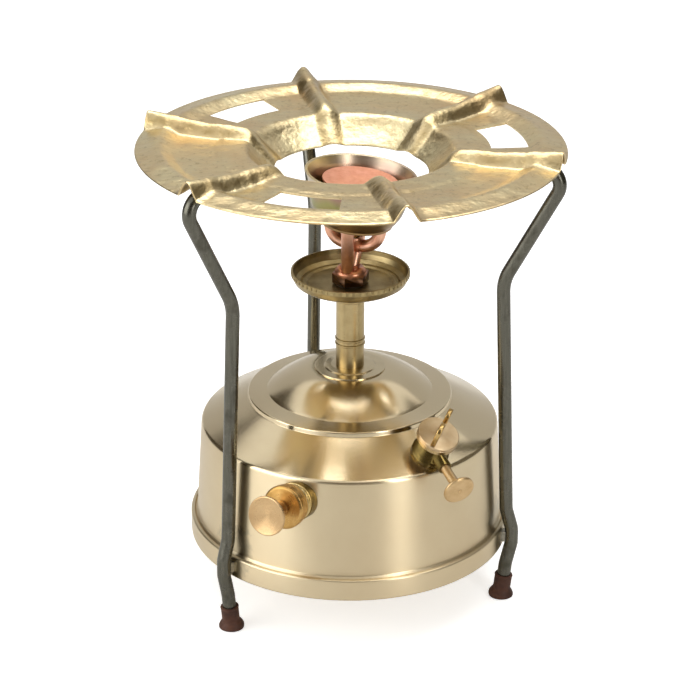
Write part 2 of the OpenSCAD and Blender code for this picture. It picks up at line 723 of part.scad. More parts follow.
module plunger_leather() {
    wall = 1.4;
    color(leather) on_pump() translate([0, 0, plunger_at + nut_t]) difference() {
        rotate_extrude() polygon([[rod_r - 0.6 + fit, leather_len - wall],
            [barrel_bore_r - slide_fit - wall, leather_len - wall],
            [barrel_bore_r - slide_fit - wall, 0], [barrel_bore_r - slide_fit, 0],
            [barrel_bore_r - slide_fit, leather_len - 0.6],
            [barrel_bore_r - slide_fit - 0.6, leather_len], [rod_r - 0.6 + fit, leather_len]]);
        translate([0, 0, -1]) cylinder(r = rod_r - 0.6 + fit, h = leather_len);
    }
}

// The nut's collar reaches up inside the leather cup and clamps it against this washer
module plunger_washer() {
    color(dull_brass) on_pump() translate([0, 0, plunger_at + nut_t + leather_len])
        tube(barrel_bore_r - 1, rod_r - 0.6 + fit, washer_t);
}

valve_r = 6;
valve_len = 13;
valve_bore_r = 3.6;
pip_r = valve_bore_r - 0.25;
pip_len = 4.5;
seat_t = 3;
seat_hole_r = 1.2;

// Screwed into the barrel's inner end; its nozzle is the valve's seat
module valve_seat() {
    color(dull_brass) on_pump() translate([0, 0, -barrel_len]) rotate([180, 0, 0]) difference() {
        union() {
            translate([0, 0, -valve_room + 0.6]) cylinder(r = barrel_bore_r - fit, h = valve_room - 0.6);
            cylinder(r = barrel_r, h = seat_t);
            translate([0, 0, seat_t]) cylinder(r1 = 2.4, r2 = 1.8, h = 1.2, $fn = 36);
        }
        translate([0, 0, -valve_room]) cylinder(r = seat_hole_r, h = valve_room + seat_t + 3);
    }
}

module valve_body() {
    color(gold_brass) on_pump() translate([0, 0, -barrel_len - seat_t]) rotate([180, 0, 0]) difference() {
        cylinder(r = valve_r, h = valve_len);
        translate([0, 0, -1]) cylinder(r = valve_bore_r, h = valve_len - 1);
        cylinder(r = 1.2, h = valve_len + 1);
    }
}

pip_at = 1.2 + 0.05;    // the pip's pad rests on the nozzle

module valve_pip() {
    color(gold_brass) on_pump() translate([0, 0, -barrel_len - seat_t]) rotate([180, 0, 0])
        translate([0, 0, pip_at]) difference() {
            cylinder(r = pip_r, h = pip_len);
            translate([0, 0, 2.6]) cylinder(r = 2.4, h = pip_len);
        }
}

module valve_spring() {
    wire = 0.28;
    coil_r = 2.0;
    turns = 6;
    ring_n = 10;
    side_n = 6;
    z0 = pip_at + 2.6 + wire + 0.05;
    z1 = valve_len - 2 - wire - 0.05;
    steps = turns * ring_n;
    function spot(i, k) =
        let (a = 360 * i / ring_n, b = 360 * k / side_n, r = coil_r + wire * cos(b))
        [r * cos(a), r * sin(a), z0 + (z1 - z0) * i / steps + wire * sin(b)];
    color("silver") on_pump() translate([0, 0, -barrel_len - seat_t]) rotate([180, 0, 0]) polyhedron(
        points = [for (i = [0:steps], k = [0:side_n - 1]) spot(i, k)],
        faces = concat([[for (k = [0:side_n - 1]) k]],
            [for (i = [0:steps - 1], k = [0:side_n - 1])
                [i * side_n + k, (i + 1) * side_n + k, i * side_n + (k + 1) % side_n]],
            [for (i = [0:steps - 1], k = [0:side_n - 1])
                [(i + 1) * side_n + k, (i + 1) * side_n + (k + 1) % side_n, i * side_n + (k + 1) % side_n]],
            [[for (k = [side_n - 1:-1:0]) steps * side_n + k]]));
}

// ---- stand ----------------------------------------------------------------------------------

kink_dist = skirt_r + leg_gap + leg_r;
foot_dist = skirt_r + foot_out;
waist_dist = skirt_r - waist_in;
rod_top_z = ring_z - 0.2;
ring_pinch_r = 79;
foot_lean = 6;
// Corners of a leg's centre line as [distance from the axis, height]
leg_corners = [
    [foot_dist, 2.6], [foot_dist + 18 * tan(foot_lean), 20], [kink_dist, skirt_bottom + 2.5],
    [kink_dist, skirt_top - 1.5], [kink_dist - 3.4, skirt_top + 10], [waist_dist, waist_z],
    [ring_r + 4.2, rod_top_z], [ring_pinch_r + 0.5, rod_top_z]];
leg_bends = [0, 24, 10, 10, 14, 24, 9, 0];

// Angle that the rod turns through at a corner, and how far the bend reaches from it
function bend_turn(corners, i) = i == 0 || i == len(corners) - 1 ? 0 :
    let (a = corners[i] - corners[i - 1], b = corners[i + 1] - corners[i])
    atan2(a[0] * b[1] - a[1] * b[0], a * b);
function bend_cut(corners, bends, i) = bends[i] * tan(abs(bend_turn(corners, i)) / 2);

// A rod bent along corners in the XY plane, with one bend radius for each corner
module bent_rod(corners, bends, r) {
    last = len(corners) - 1;
    dirs = [for (i = [0:last - 1]) unit(corners[i + 1] - corners[i])];
    cuts = [for (i = [0:last]) bend_cut(corners, bends, i)];
    lap = 0.3;       // the straights reach a little way into the bends
    union() {
        for (i = [0:last - 1]) {
            from = corners[i] + (cuts[i] - (i == 0 ? 0 : lap)) * dirs[i];
            to = corners[i + 1] - (cuts[i + 1] - (i == last - 1 ? 0 : lap)) * dirs[i];
            translate([from[0], from[1], 0]) rotate([0, 0, atan2(dirs[i][1], dirs[i][0])])
                rotate([0, 90, 0]) cylinder(r = r - skin, h = norm(to - from));
        }
        for (i = [1:last - 1]) {
            t = bend_turn(corners, i);
            side = t > 0 ? 1 : -1;
            start = corners[i] - cuts[i] * dirs[i - 1];
            centre = start + side * bends[i] * left_of(dirs[i - 1]);
            a0 = atan2(start[1] - centre[1], start[0] - centre[0]);
            translate([centre[0], centre[1], 0]) rotate([0, 0, t > 0 ? a0 : a0 + t])
                rotate_extrude(angle = abs(t)) translate([bends[i], 0]) circle(r);
        }
    }
}

module leg(az) {
    color(steel) rotate([0, 0, az]) rotate([90, 0, 0]) bent_rod(leg_corners, leg_bends, leg_r);
}

module leg_back() leg(leg_az);
module leg_left() leg(leg_az + 120);
module leg_right() leg(leg_az + 240);

// A rubber tube with a flared sole, pushed on the leg's end and standing flat on the table
module foot(az) {
    lean = atan((leg_corners[1][0] - leg_corners[0][0]) / (leg_corners[1][1] - leg_corners[0][1]));
    color(rubber) rotate([0, 0, az]) difference() {
        translate([foot_dist, 0, leg_corners[0][1]]) rotate([0, lean, 0]) difference() {
            translate([0, 0, -leg_corners[0][1]]) rotate_extrude($fn = 48) polygon([[0, -2],
                [boot_sole_r - 0.6, -2], [boot_sole_r, 0.2], [boot_sole_r, 1.4], [boot_sole_r - 0.6, 2.6],
                [boot_r + 0.3, 4.2], [boot_r, 5.2], [boot_r, boot_h - 1], [boot_r + 0.25, boot_h - 0.6],
                [boot_r, boot_h], [0, boot_h]]);
            cylinder(r = leg_r + fit, h = 2 * boot_h);
        }
        translate([foot_dist - 20, -20, -20]) cube([40, 40, 20]);
    }
}

module foot_back() foot(leg_az);
module foot_left() foot(leg_az + 120);
module foot_right() foot(leg_az + 240);

// The pads fill the gap along the straight part of each rod, between its two bends
module leg_solder() {
    pad_w = 5;
    pad_z = leg_corners[2][1] + bend_cut(leg_corners, leg_bends, 2) + 0.1;
    pad_h = leg_corners[3][1] - bend_cut(leg_corners, leg_bends, 3) - 0.1 - pad_z;
    color("silver") for (k = [0:2]) rotate([0, 0, leg_az + 120 * k]) difference() {
        translate([skirt_r - 1, -pad_w / 2, pad_z]) cube([leg_gap + leg_r / 2, pad_w, pad_h]);
        translate([kink_dist, 0, 0]) cylinder(r = leg_r + skin, h = 2 * skirt_top);
        cylinder(r = skirt_r + skin, h = 2 * skirt_top, $fn = 720);
    }
}

// ---- pot ring -------------------------------------------------------------------------------

hole_z = ring_z - ring_cone_h;
bead_r = ring_r - 11.5;
bead_z = ring_z + ring_bead_h;
step_down = 0.6;
ridge_n = 6;
// The ring's section from the hole to the rim's edge, as [radius, height, share of a ridge's height]
ring_rows = [
    [ring_hole_r, hole_z, 0.12], [ring_hole_r + 4.5, hole_z + 0.3 * ring_cone_h, 0.26],
    [ring_hole_r + 9.5, hole_z + 0.64 * ring_cone_h, 0.36],
    [ring_crest_r - 2, ring_z - 0.8, 0.42], [ring_crest_r, ring_z + 0.2, 0.45],
    [ring_crest_r + 2.3, ring_z + 0.3, 0.54], [ring_crest_r + 7, ring_z + 0.1, 0.62],
    [window_in_r - 5, ring_z, 0.67], [window_in_r - 1.5, ring_z - step_down, 0.74],
    [window_in_r, ring_z - step_down, 0.75], [window_in_r + 5, ring_z - step_down, 0.72],
    [window_in_r + 12, ring_z - step_down / 2, 0.78], [window_out_r, ring_z, 0.82],
    [bead_r - 5, ring_z + 0.5 * ring_bead_h, 0.74], [bead_r - 2, ring_z + 0.92 * ring_bead_h, 0.63],
    [bead_r, bead_z, 0.6], [bead_r + 4, bead_z - 0.38 * ring_rim_drop, 0.75],
    [bead_r + 8, bead_z - 0.8 * ring_rim_drop, 0.9], [ring_r - 0.5, bead_z - ring_rim_drop, 0.98],
    [ring_r, bead_z - ring_rim_drop - 0.5, 1]];
row_n = len(ring_rows);
// Columns of one sixth of the ring: lateral steps beside a ridge in millimetres, then angles
ridge_steps = [0, 0.25, 0.5, 0.75, 1];
window_steps = [0, 0.25, 0.5, 0.75, 1];
sector = 360 / ridge_n;
col_sector = 2 * len(ridge_steps) + len(window_steps) + 1;
col_n = ridge_n * col_sector;
first_window_col = len(ridge_steps) + 1;

// Angle from the ridge, at column c of a sector and radius r
function col_angle(c, r) =
    c < len(ridge_steps) ? asin(ridge_half_w * ridge_steps[c] / r) :
    c == len(ridge_steps) ? (asin(ridge_half_w / r) + window_side) / 2 :
    c < first_window_col + len(window_steps) ?
        window_side + (sector - 2 * window_side) * window_steps[c - first_window_col] :
    sector - col_angle(col_sector - c, r);
// Share of the ridge's height at column c: a pinched, rounded crest
function col_lift(c) =
    let (d = min(c, col_sector - c))
    d >= len(ridge_steps) ? 0 : pow(cos(90 * ridge_steps[d]), 1.2);
// Ridge height at one row: what is drawn up is more at the rim than at the cone
function ring_point(row, i) =
    let (c = i % col_sector, q = ring_rows[row], lift = col_lift(c),
        a = leg_az + sector * floor(i / col_sector) + col_angle(c, q[0]))
    [q[0] * cos(a), q[0] * sin(a), q[1] + ridge_h * q[2] * lift];
function around(i) = (i + col_n) % col_n;
function ring_normal(row, i) =
    let (a = ring_point(min(row + 1, row_n - 1), i) - ring_point(max(row - 1, 0), i),
        b = ring_point(row, around(i + 1)) - ring_point(row, around(i - 1)))
    unit(cross(a, b));
// The underside: the top's points moved by the sheet's thickness
function ring_under(row, i) = ring_point(row, i) - ring_t * ring_normal(row, i);
function is_window(row, i) =
    let (c = i % col_sector, k = floor(i / col_sector))
    k % 2 == 0 && ring_rows[row][0] >= window_in_r && ring_rows[row][0] < window_out_r
    && c >= first_window_col && c < first_window_col + len(window_steps) - 1;
function solid_cell(row, i) = row >= 0 && row < row_n - 1 && !is_window(row, around(i));

module pot_ring() {
    top = [for (row = [0:row_n - 1], i = [0:col_n - 1]) ring_point(row, i)];
    under = [for (row = [0:row_n - 1], i = [0:col_n - 1]) ring_under(row, i)];
    m = row_n * col_n;
    function at(row, i) = row * col_n + around(i);
    function quad(a, b, c, d) = [[a, b, c], [a, c, d]];
    faces = [for (row = [0:row_n - 2], i = [0:col_n - 1]) if (solid_cell(row, i))
        let (a = at(row, i), b = at(row, i + 1), c = at(row + 1, i + 1), d = at(row + 1, i))
        each concat(quad(a, b, c, d), quad(m + d, m + c, m + b, m + a),
            solid_cell(row - 1, i) ? [] : quad(m + a, m + b, b, a),
            solid_cell(row + 1, i) ? [] : quad(d, c, m + c, m + d),
            solid_cell(row, i + 1) ? [] : quad(b, m + b, m + c, c),
            solid_cell(row, i - 1) ? [] : quad(d, m + d, m + a, a))];
    color(brass) polyhedron(points = concat(top, under), faces = faces);
}

tank_shell();
tank_bottom();
riser_bush();
riser_tube();
dip_tube();
spirit_cup();
burner_gasket();
burner_base();
upright_front();
upright_back();
loop_left();
loop_right();
jet_holder();
jet_nipple();
burner_cup();
flame_disc();
filler_neck();
filler_gasket();
filler_cap();
filler_wing();
air_screw();
pump_boss();
pump_barrel();
pump_gasket();
pump_cap();
pump_rod();
pump_knob();
plunger_washer();
plunger_leather();
plunger_nut();
valve_body();
valve_seat();
valve_spring();
valve_pip();
leg_back();
leg_left();
leg_right();
foot_back();
foot_left();
foot_right();
leg_solder();
pot_ring();
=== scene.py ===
"""The brass kerosene pressure stove: what shows of it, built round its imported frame."""

import math

import bmesh
import bpy
from mathutils import Matrix, Vector


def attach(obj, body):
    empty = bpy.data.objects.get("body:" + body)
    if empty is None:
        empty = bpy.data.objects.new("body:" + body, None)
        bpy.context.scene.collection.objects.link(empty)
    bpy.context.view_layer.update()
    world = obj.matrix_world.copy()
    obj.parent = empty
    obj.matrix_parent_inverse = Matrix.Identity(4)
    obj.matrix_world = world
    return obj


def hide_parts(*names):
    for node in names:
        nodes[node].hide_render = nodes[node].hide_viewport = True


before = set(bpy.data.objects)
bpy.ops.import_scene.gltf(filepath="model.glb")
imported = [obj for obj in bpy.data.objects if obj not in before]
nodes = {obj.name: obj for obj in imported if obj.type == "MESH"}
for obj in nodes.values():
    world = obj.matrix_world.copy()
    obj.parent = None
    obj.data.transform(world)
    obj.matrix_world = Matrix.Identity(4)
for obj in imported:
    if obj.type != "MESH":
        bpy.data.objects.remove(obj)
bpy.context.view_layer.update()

# ---- Camera ---------------------------------------------------------------------------------
# A long lens looks down on the stove from the side with the pump. Its place and its slight roll
# come from the ellipses that the tank, the spirit cup and the pot ring make in the photograph.
look_down = math.radians(24.04)
camera_roll = math.radians(0.35)
camera_distance = 1.321
camera_aim = Vector((0, 0, 0.1342))
camera_forward = Vector((0, math.cos(look_down), -math.sin(look_down)))
level_up = Vector((0, math.sin(look_down), math.cos(look_down)))
camera_right = Vector((1, 0, 0)) * math.cos(camera_roll) + level_up * math.sin(camera_roll)
camera_up = camera_right.cross(camera_forward)


def in_scene(name, data):
    """A new object at the origin of the scene."""
    made = bpy.data.objects.new(name, data)
    bpy.context.scene.collection.objects.link(made)
    return made


camera = in_scene("camera", bpy.data.cameras.new("camera"))
camera.data.lens = 127.8
camera.data.sensor_width = 36
camera.data.clip_end = 30
camera.matrix_world = (
    Matrix.Translation(camera_aim - camera_distance * camera_forward)
    @ Matrix((camera_right, camera_up, -camera_forward)).transposed().to_4x4()
)
bpy.context.scene.camera = camera
bpy.context.scene.view_settings.view_transform = "Standard"

# ---- Studio ---------------------------------------------------------------------------------
# A white table that runs up into a white wall, a soft box overhead, a broad one at the left and
# a narrow one at the right. Grey cards that only the brass sees give it something dark to show.
table_half = 6.0
table_back = 3.0
wall_run, wall_height = 2.0, 5.0
table_gap = 0.0004
table_glow = 0.6
mirrored_glow = 0.05
world_glow = 0.55


def linear(red, green, blue):
    """The linear colour of three 0-255 values as they look on a screen."""
    return (*[((c / 255 + 0.055) / 1.055) ** 2.4 for c in (red, green, blue)], 1.0)


def feed(tree, value, socket):
    """Puts a number, a colour or another node's output into a socket."""
    if isinstance(value, bpy.types.NodeSocket):
        tree.links.new(value, socket)
    else:
        socket.default_value = value


def math_node(tree, operation, *values):
    node = tree.nodes.new("ShaderNodeMath")
    node.operation = operation
    for socket, value in zip(node.inputs, values):
        feed(tree, value, socket)
    return node.outputs[0]


def new_finish(name, settings):
    """A new material with plain values on its shader, given with its tree and that shader."""
    material = bpy.data.materials.new(name)
    material.use_nodes = True
    shader = material.node_tree.nodes["Principled BSDF"]
    for label, value in settings.items():
        shader.inputs[label].default_value = value
    return material, material.node_tree, shader


def table_top():
    """White, lifted towards white where the camera sees it and a little where metal does."""
    material, tree, shader = new_finish(
        "table_top",
        {
            "Base Color": (0.86, 0.86, 0.86, 1),
            "Roughness": 0.7,
            "Specular IOR Level": 0.1,
            "Emission Color": (1, 1, 1, 1),
        },
    )
    rays = tree.nodes.new("ShaderNodeLightPath").outputs
    mirrored = math_node(tree, "MAXIMUM", rays["Is Glossy Ray"], rays["Is Transmission Ray"])
    mirrored = math_node(tree, "MULTIPLY", mirrored, mirrored_glow)
    lift = math_node(tree, "MULTIPLY_ADD", rays["Is Camera Ray"], table_glow, mirrored)
    feed(tree, lift, shader.inputs["Emission Strength"])
    return material


def flat_sheet(name, corners, faces, material):
    """A flat backdrop of a few faces."""
    mesh = bpy.data.meshes.new(name)
    mesh.from_pydata(corners, [], faces)
    mesh.materials.append(material)
    return in_scene(name, mesh)


table_line = ((-table_half, 0), (table_back, 0), (table_back + wall_run, wall_height))
table = flat_sheet(
    "table",
    [(x, y, z - table_gap) for y, z in table_line for x in (-table_half, table_half)],
    [(0, 1, 3, 2), (2, 3, 5, 4)],
    table_top(),
)


def soft_box(name, place, aim, size, watts):
    data = bpy.data.lights.new(name, "AREA")
    data.shape = "RECTANGLE"
    data.size, data.size_y = size
    data.energy = watts
    light = in_scene(name, data)
    light.location = place
    light.rotation_mode = "QUATERNION"
    light.rotation_quaternion = (Vector(place) - Vector(aim)).to_track_quat("Z", "Y")


soft_box("overhead_box", (0.1, 0.2, 1.8), (0, 0, 0.1), (1.8, 1.2), 18)
soft_box("left_box", (-1.45, -0.75, 0.75), (0, 0, 0.12), (1.5, 1.3), 15)
soft_box("right_box", (0.95, -1.25, 0.8), (0, 0, 0.12), (0.28, 1.3), 6)


def grey_card(name, left, right, height, shade):
    """A card on edge, from one point of the table to another, that only the brass can see."""
    material, _, _ = new_finish(name, {"Base Color": linear(*shade), "Roughness": 0.9})
    corners = [(*left, 0.02), (*right, 0.02), (*right, height), (*left, height)]
    card = flat_sheet(name, corners, [(0, 1, 2, 3)], material)
    card.visible_camera = False


grey_card("front_card", (-1.1, -2.3), (1.3, -2.3), 2.6, (120, 110, 92))
grey_card("right_card", (1.7, -1.5), (1.7, 1.2), 2.0, (105, 98, 84))
grey_card("left_card", (-1.7, 0.2), (-1.5, 1.7), 1.8, (70, 62, 48))

world = bpy.data.worlds.new("surroundings")
bpy.context.scene.world = world
world.use_nodes = True
surroundings = world.node_tree
background = surroundings.nodes["Background"]
rays = surroundings.nodes.new("ShaderNodeLightPath").outputs
shown = math_node(surroundings, "MAXIMUM", rays["Is Camera Ray"], rays["Is Transmission Ray"])
shown = math_node(surroundings, "MAXIMUM", shown, rays["Is Glossy Ray"])
strength = math_node(surroundings, "MULTIPLY_ADD", shown, 1 - world_glow, world_glow)
feed(surroundings, strength, background.inputs["Strength"])
background.inputs["Color"].default_value = (1, 1, 1, 1)

# ---- Fuel tank: the bottom cup --------------------------------------------------------------
# The tank stands in a shallow cup of the same brass sheet, whose wall is the skirt. The cup is
# pressed, pushed over the drawn shell and soft-soldered all round.
mm = 0.001
sheet = 0.8
skirt_bottom = 30.0
skirt_radius = 86.0
skirt_top = 42.5
floor_dish = 3.0
shoulder_height = skirt_top + 53.0
first_leg, leg_pitch = 104, 120


def left_of(v):
    return Vector((-v.y, v.x))


def walled(line, wall):
    """The closed section of a sheet that lies on the left of a line of (radius, height) pairs."""
    points = [Vector(p) for p in line]
    inner = []
    for i, p in enumerate(points):
        before = left_of((points[max(i, 1)] - points[max(i, 1) - 1]).normalized())
        j = min(i, len(points) - 2)
        after = left_of((points[j + 1] - points[j]).normalized())
        inner.append(p + wall * (before + after) / (1 + before.dot(after)))
    return [tuple(p) for p in points + inner[::-1]]


def eased(corners, steps=5):
    """A line with rounded corners: each corner is (radius, height) or has its rounding third."""
    line = []
    for i, corner in enumerate(corners):
        here = Vector(corner[:2])
        bend = corner[2] if len(corner) > 2 else 0
        if not bend or i in (0, len(corners) - 1):
            line.append(tuple(here))
            continue
        back = Vector(corners[i - 1][:2]) - here
        on = Vector(corners[i + 1][:2]) - here
        opening = back.angle(on)
        cut = min(bend / math.tan(opening / 2), back.length * 0.49, on.length * 0.49)
        radius = cut * math.tan(opening / 2)
        middle = (back.normalized() + on.normalized()).normalized()
        centre = here + middle * (radius / math.sin(opening / 2))
        start = here + back.normalized() * cut - centre
        turn = start.angle_signed(here + on.normalized() * cut - centre, 0)
        for k in range(steps + 1):
            line.append(tuple(centre + Matrix.Rotation(-turn * k / steps, 2) @ start))
    return line


def finished(name, mesh, material, body, *stood_for, crease=38, slot=None):
    """A piece from its mesh: shaded smooth up to the crease, and riding on its body."""
    mesh.polygons.foreach_set("use_smooth", [True] * len(mesh.polygons))
    mesh.set_sharp_from_angle(angle=math.radians(crease))
    mesh.materials.clear()
    mesh.materials.append(material)
    piece = in_scene(name, mesh)
    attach(piece, body)
    if stood_for:
        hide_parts(*stood_for)


def as_mesh(bm, name):
    """The mesh of a bmesh, which is done with."""
    mesh = bpy.data.meshes.new(name)
    bm.to_mesh(mesh)
    bm.free()
    return mesh


def turned(section, place=None, steps=160):
    """The mesh of a closed (radius, height) section in millimetres, turned round its own axis."""
    area = sum(a[0] * b[1] - b[0] * a[1] for a, b in zip(section, section[1:] + section[:1]))
    section = section if area > 0 else section[::-1]
    bm = bmesh.new()
    wrap = bm.loops.layers.uv.new("turned")
    rings = []
    for radius, height in section:
        ring = []
        for k in range(1 if radius < 1e-4 else steps):
            turn = 2 * math.pi * k / steps
            corner = (radius * mm * math.cos(turn), radius * mm * math.sin(turn), height * mm)
            ring.append(bm.verts.new(corner))
        rings.append(ring)
    run = 0.0
    for i, ring in enumerate(rings):
        j = (i + 1) % len(rings)
        ahead = run + math.dist(section[i], section[j]) * mm
        if len(ring) > 1 or len(rings[j]) > 1:
            for k in range(steps):
                corners, marks = [], []
                for row, column, along in (
                    (i, k, run), (i, k + 1, run), (j, k + 1, ahead), (j, k, ahead)
                ):
                    vert = rings[row][column % steps if len(rings[row]) > 1 else 0]
                    if vert not in corners:
                        corners.append(vert)
                        marks.append((column / steps, along))
                for loop, mark in zip(bm.faces.new(corners).loops, marks):
                    loop[wrap].uv = mark
        run = ahead
    if place:
        bm.transform(place)
    return as_mesh(bm, "turned")


def own_place(tree):
    """A point's place on the stove, in metres."""
    return tree.nodes.new("ShaderNodeTexCoord").outputs["Object"]


def parted(tree, vector):
    """The X, Y and Z of a vector."""
    node = tree.nodes.new("ShaderNodeSeparateXYZ")
    tree.links.new(vector, node.inputs[0])
    return node.outputs


def mixed(tree, factor, a, b):
    node = tree.nodes.new("ShaderNodeMix")
    node.data_type = "RGBA"
    for i, value in ((0, factor), (6, a), (7, b)):
        feed(tree, value, node.inputs[i])
    return node.outputs[2]


def noise(tree, vector, scale, detail=3.0, roughness=0.55):
    node = tree.nodes.new("ShaderNodeTexNoise")
    feed(tree, vector, node.inputs["Vector"])
    feed(tree, scale, node.inputs["Scale"])
    node.inputs["Detail"].default_value = detail
    node.inputs["Roughness"].default_value = roughness
    return node.outputs["Fac"]


def ramped(tree, value, start, end, top=1.0):
    """A value brought to 0 at its start and to the top at its end, and held beyond them."""
    node = tree.nodes.new("ShaderNodeMapRange")
    for label, number in (("From Min", start), ("From Max", end), ("To Max", top)):
        node.inputs[label].default_value = number
    tree.links.new(value, node.inputs["Value"])
    return node.outputs["Result"]


def relief(tree, height, depth, strength=1.0):
    """A bump of a depth in millimetres."""
    node = tree.nodes.new("ShaderNodeBump")
    node.inputs["Distance"].default_value = depth * mm
    node.inputs["Strength"].default_value = strength
    tree.links.new(height, node.inputs["Height"])
    return node


def dress(tree, shader, colour, polish, bump):
    """Puts a colour, a roughness and a bump on a shader."""
    feed(tree, colour, shader.inputs["Base Color"])
    feed(tree, polish, shader.inputs["Roughness"])
    feed(tree, bump.outputs["Normal"], shader.inputs["Normal"])


def group(name, inputs, outputs):
    """An empty shader node group with its named sockets."""
    tree = bpy.data.node_groups.new(name, "ShaderNodeTree")
    for label, value in inputs.items():
        socket = tree.interface.new_socket(label, in_out="INPUT", socket_type="NodeSocketFloat")
        socket.default_value = value
    for label in outputs:
        tree.interface.new_socket(label, in_out="OUTPUT", socket_type="NodeSocketFloat")
    return tree, tree.nodes.new("NodeGroupInput").outputs, tree.nodes.new("NodeGroupOutput")


def grouped(tree, inner, values):
    """A group placed in a material's tree, with its own values."""
    node = tree.nodes.new("ShaderNodeGroup")
    node.node_tree = inner
    for label, value in values.items():
        node.inputs[label].default_value = value
    return node.outputs


def turning_marks():
    """Fine lines round a turned piece, which follow its turned map, as a mask from 0 to 1."""
    tree, given, sink = group("turning_marks", {"Lines per metre": 900.0}, ("Mask",))
    wrap = tree.nodes.new("ShaderNodeUVMap")
    wrap.uv_map = "turned"
    parts = parted(tree, wrap.outputs[0])
    around = math_node(tree, "MULTIPLY", parts["X"], 2.0 * math.pi)
    vector = tree.nodes.new("ShaderNodeCombineXYZ")
    for label, value in (
        ("X", math_node(tree, "COSINE", around)),
        ("Y", math_node(tree, "SINE", around)),
        ("Z", math_node(tree, "MULTIPLY", parts["Y"], given["Lines per metre"])),
    ):
        feed(tree, value, vector.inputs[label])
    lines = noise(tree, vector.outputs[0], 1.0, detail=4.0, roughness=0.7)
    feed(tree, lines, sink.inputs["Mask"])
    return tree


def tarnish():
    """Cloudy staining of lacquered or handled metal, as a mask from 0 to 1."""
    tree, given, sink = group("tarnish", {"Size": 40.0, "Amount": 0.5}, ("Mask",))
    clouds = noise(tree, own_place(tree), given["Size"], detail=5.0, roughness=0.62)
    spread = ramped(tree, clouds, 0.38, 0.72)
    feed(tree, math_node(tree, "MULTIPLY", spread, given["Amount"]), sink.inputs["Mask"])
    return tree


marks_group = turning_marks()
tarnish_group = tarnish()


def turned_brass(
    name, clean, stained, rough, stain_size=40.0, stain=0.5, lines=900.0, bump=0.02, brushed=0.0
):
    """Brass, or copper, that was spun or turned: fine lines round it and cloudy stains."""
    material, tree, shader = new_finish(name, {"Metallic": 1.0, "Anisotropic": brushed})
    marks = grouped(tree, marks_group, {"Lines per metre": lines})["Mask"]
    stains = grouped(tree, tarnish_group, {"Size": stain_size, "Amount": stain})["Mask"]
    colour = mixed(tree, stains, linear(*clean), linear(*stained))
    polish = math_node(tree, "MULTIPLY_ADD", marks, 0.10, rough - 0.05)
    polish = math_node(tree, "MULTIPLY_ADD", stains, 0.08, polish)
    dress(tree, shader, colour, polish, relief(tree, marks, bump))
    if brushed:
        shader.inputs["Anisotropic Rotation"].default_value = 0.25
        along = tree.nodes.new("ShaderNodeTangent")
        along.direction_type = "UV_MAP"
        along.uv_map = "turned"
        feed(tree, along.outputs[0], shader.inputs["Tangent"])
    return material


def satin_below(material, height, extra):
    """Roughens a brass below a height in millimetres: the wall was left satin, the top polished."""
    tree = material.node_tree
    rough = tree.nodes["Principled BSDF"].inputs["Roughness"]
    up = parted(tree, own_place(tree))["Z"]
    share = ramped(tree, up, (height + 0.5) * mm, (height - 1.5) * mm)
    polish = rough.links[0].from_socket
    feed(tree, math_node(tree, "MULTIPLY_ADD", share, extra, polish), rough)


def laid_over(material, mask, colour):
    """Lays a colour over a finish, as far as a mask says."""
    tree = material.node_tree
    base = tree.nodes["Principled BSDF"].inputs["Base Color"]
    feed(tree, mixed(tree, mask, base.links[0].from_socket, colour), base)


def round_axis(distance, azimuth, height):
    """A point at a distance from the stove's axis."""
    return Vector((distance * math.cos(azimuth), distance * math.sin(azimuth), height))


def flux_smears(material):
    """Dull grey smears where flux ran on the skirt and the wall beside each soldered leg."""
    tree = material.node_tree
    place = own_place(tree)
    reach = None
    for k in range(3):
        azimuth = math.radians(first_leg + leg_pitch * k)
        joint = round_axis(skirt_radius, azimuth, skirt_top + 4)
        away = tree.nodes.new("ShaderNodeVectorMath")
        away.operation = "DISTANCE"
        away.inputs[1].default_value = joint * mm
        feed(tree, place, away.inputs[0])
        here = away.outputs["Value"]
        reach = here if reach is None else math_node(tree, "MINIMUM", reach, here)
    ragged = noise(tree, place, 170.0, detail=4.0)
    edge = math_node(tree, "MULTIPLY_ADD", ragged, 34 * mm, reach)
    laid_over(material, ramped(tree, edge, 32 * mm, 24 * mm, 0.55), linear(150, 142, 120))


tank_brass = turned_brass(
    "tank_brass", (222, 205, 170), (209, 187, 150), 0.17, stain_size=14.0, lines=2400.0,
    brushed=0.8,
)
satin_below(tank_brass, shoulder_height, 0.15)
flux_smears(tank_brass)

bottom_line = eased(
    [
        (0, skirt_bottom + floor_dish),
        (skirt_radius - 22, skirt_bottom + floor_dish, 8),
        (skirt_radius - 12, skirt_bottom, 6),
        (skirt_radius, skirt_bottom, 1.5),
        (skirt_radius, skirt_top - 0.5, 2.2),
        (skirt_radius - 1.9, skirt_top - 0.2),
    ],
    steps=8,
)
finished(
    "tank_cup", turned(walled(bottom_line, sheet), steps=256), tank_brass, "stove", "tank_bottom",
    slot="tank_brass",
)

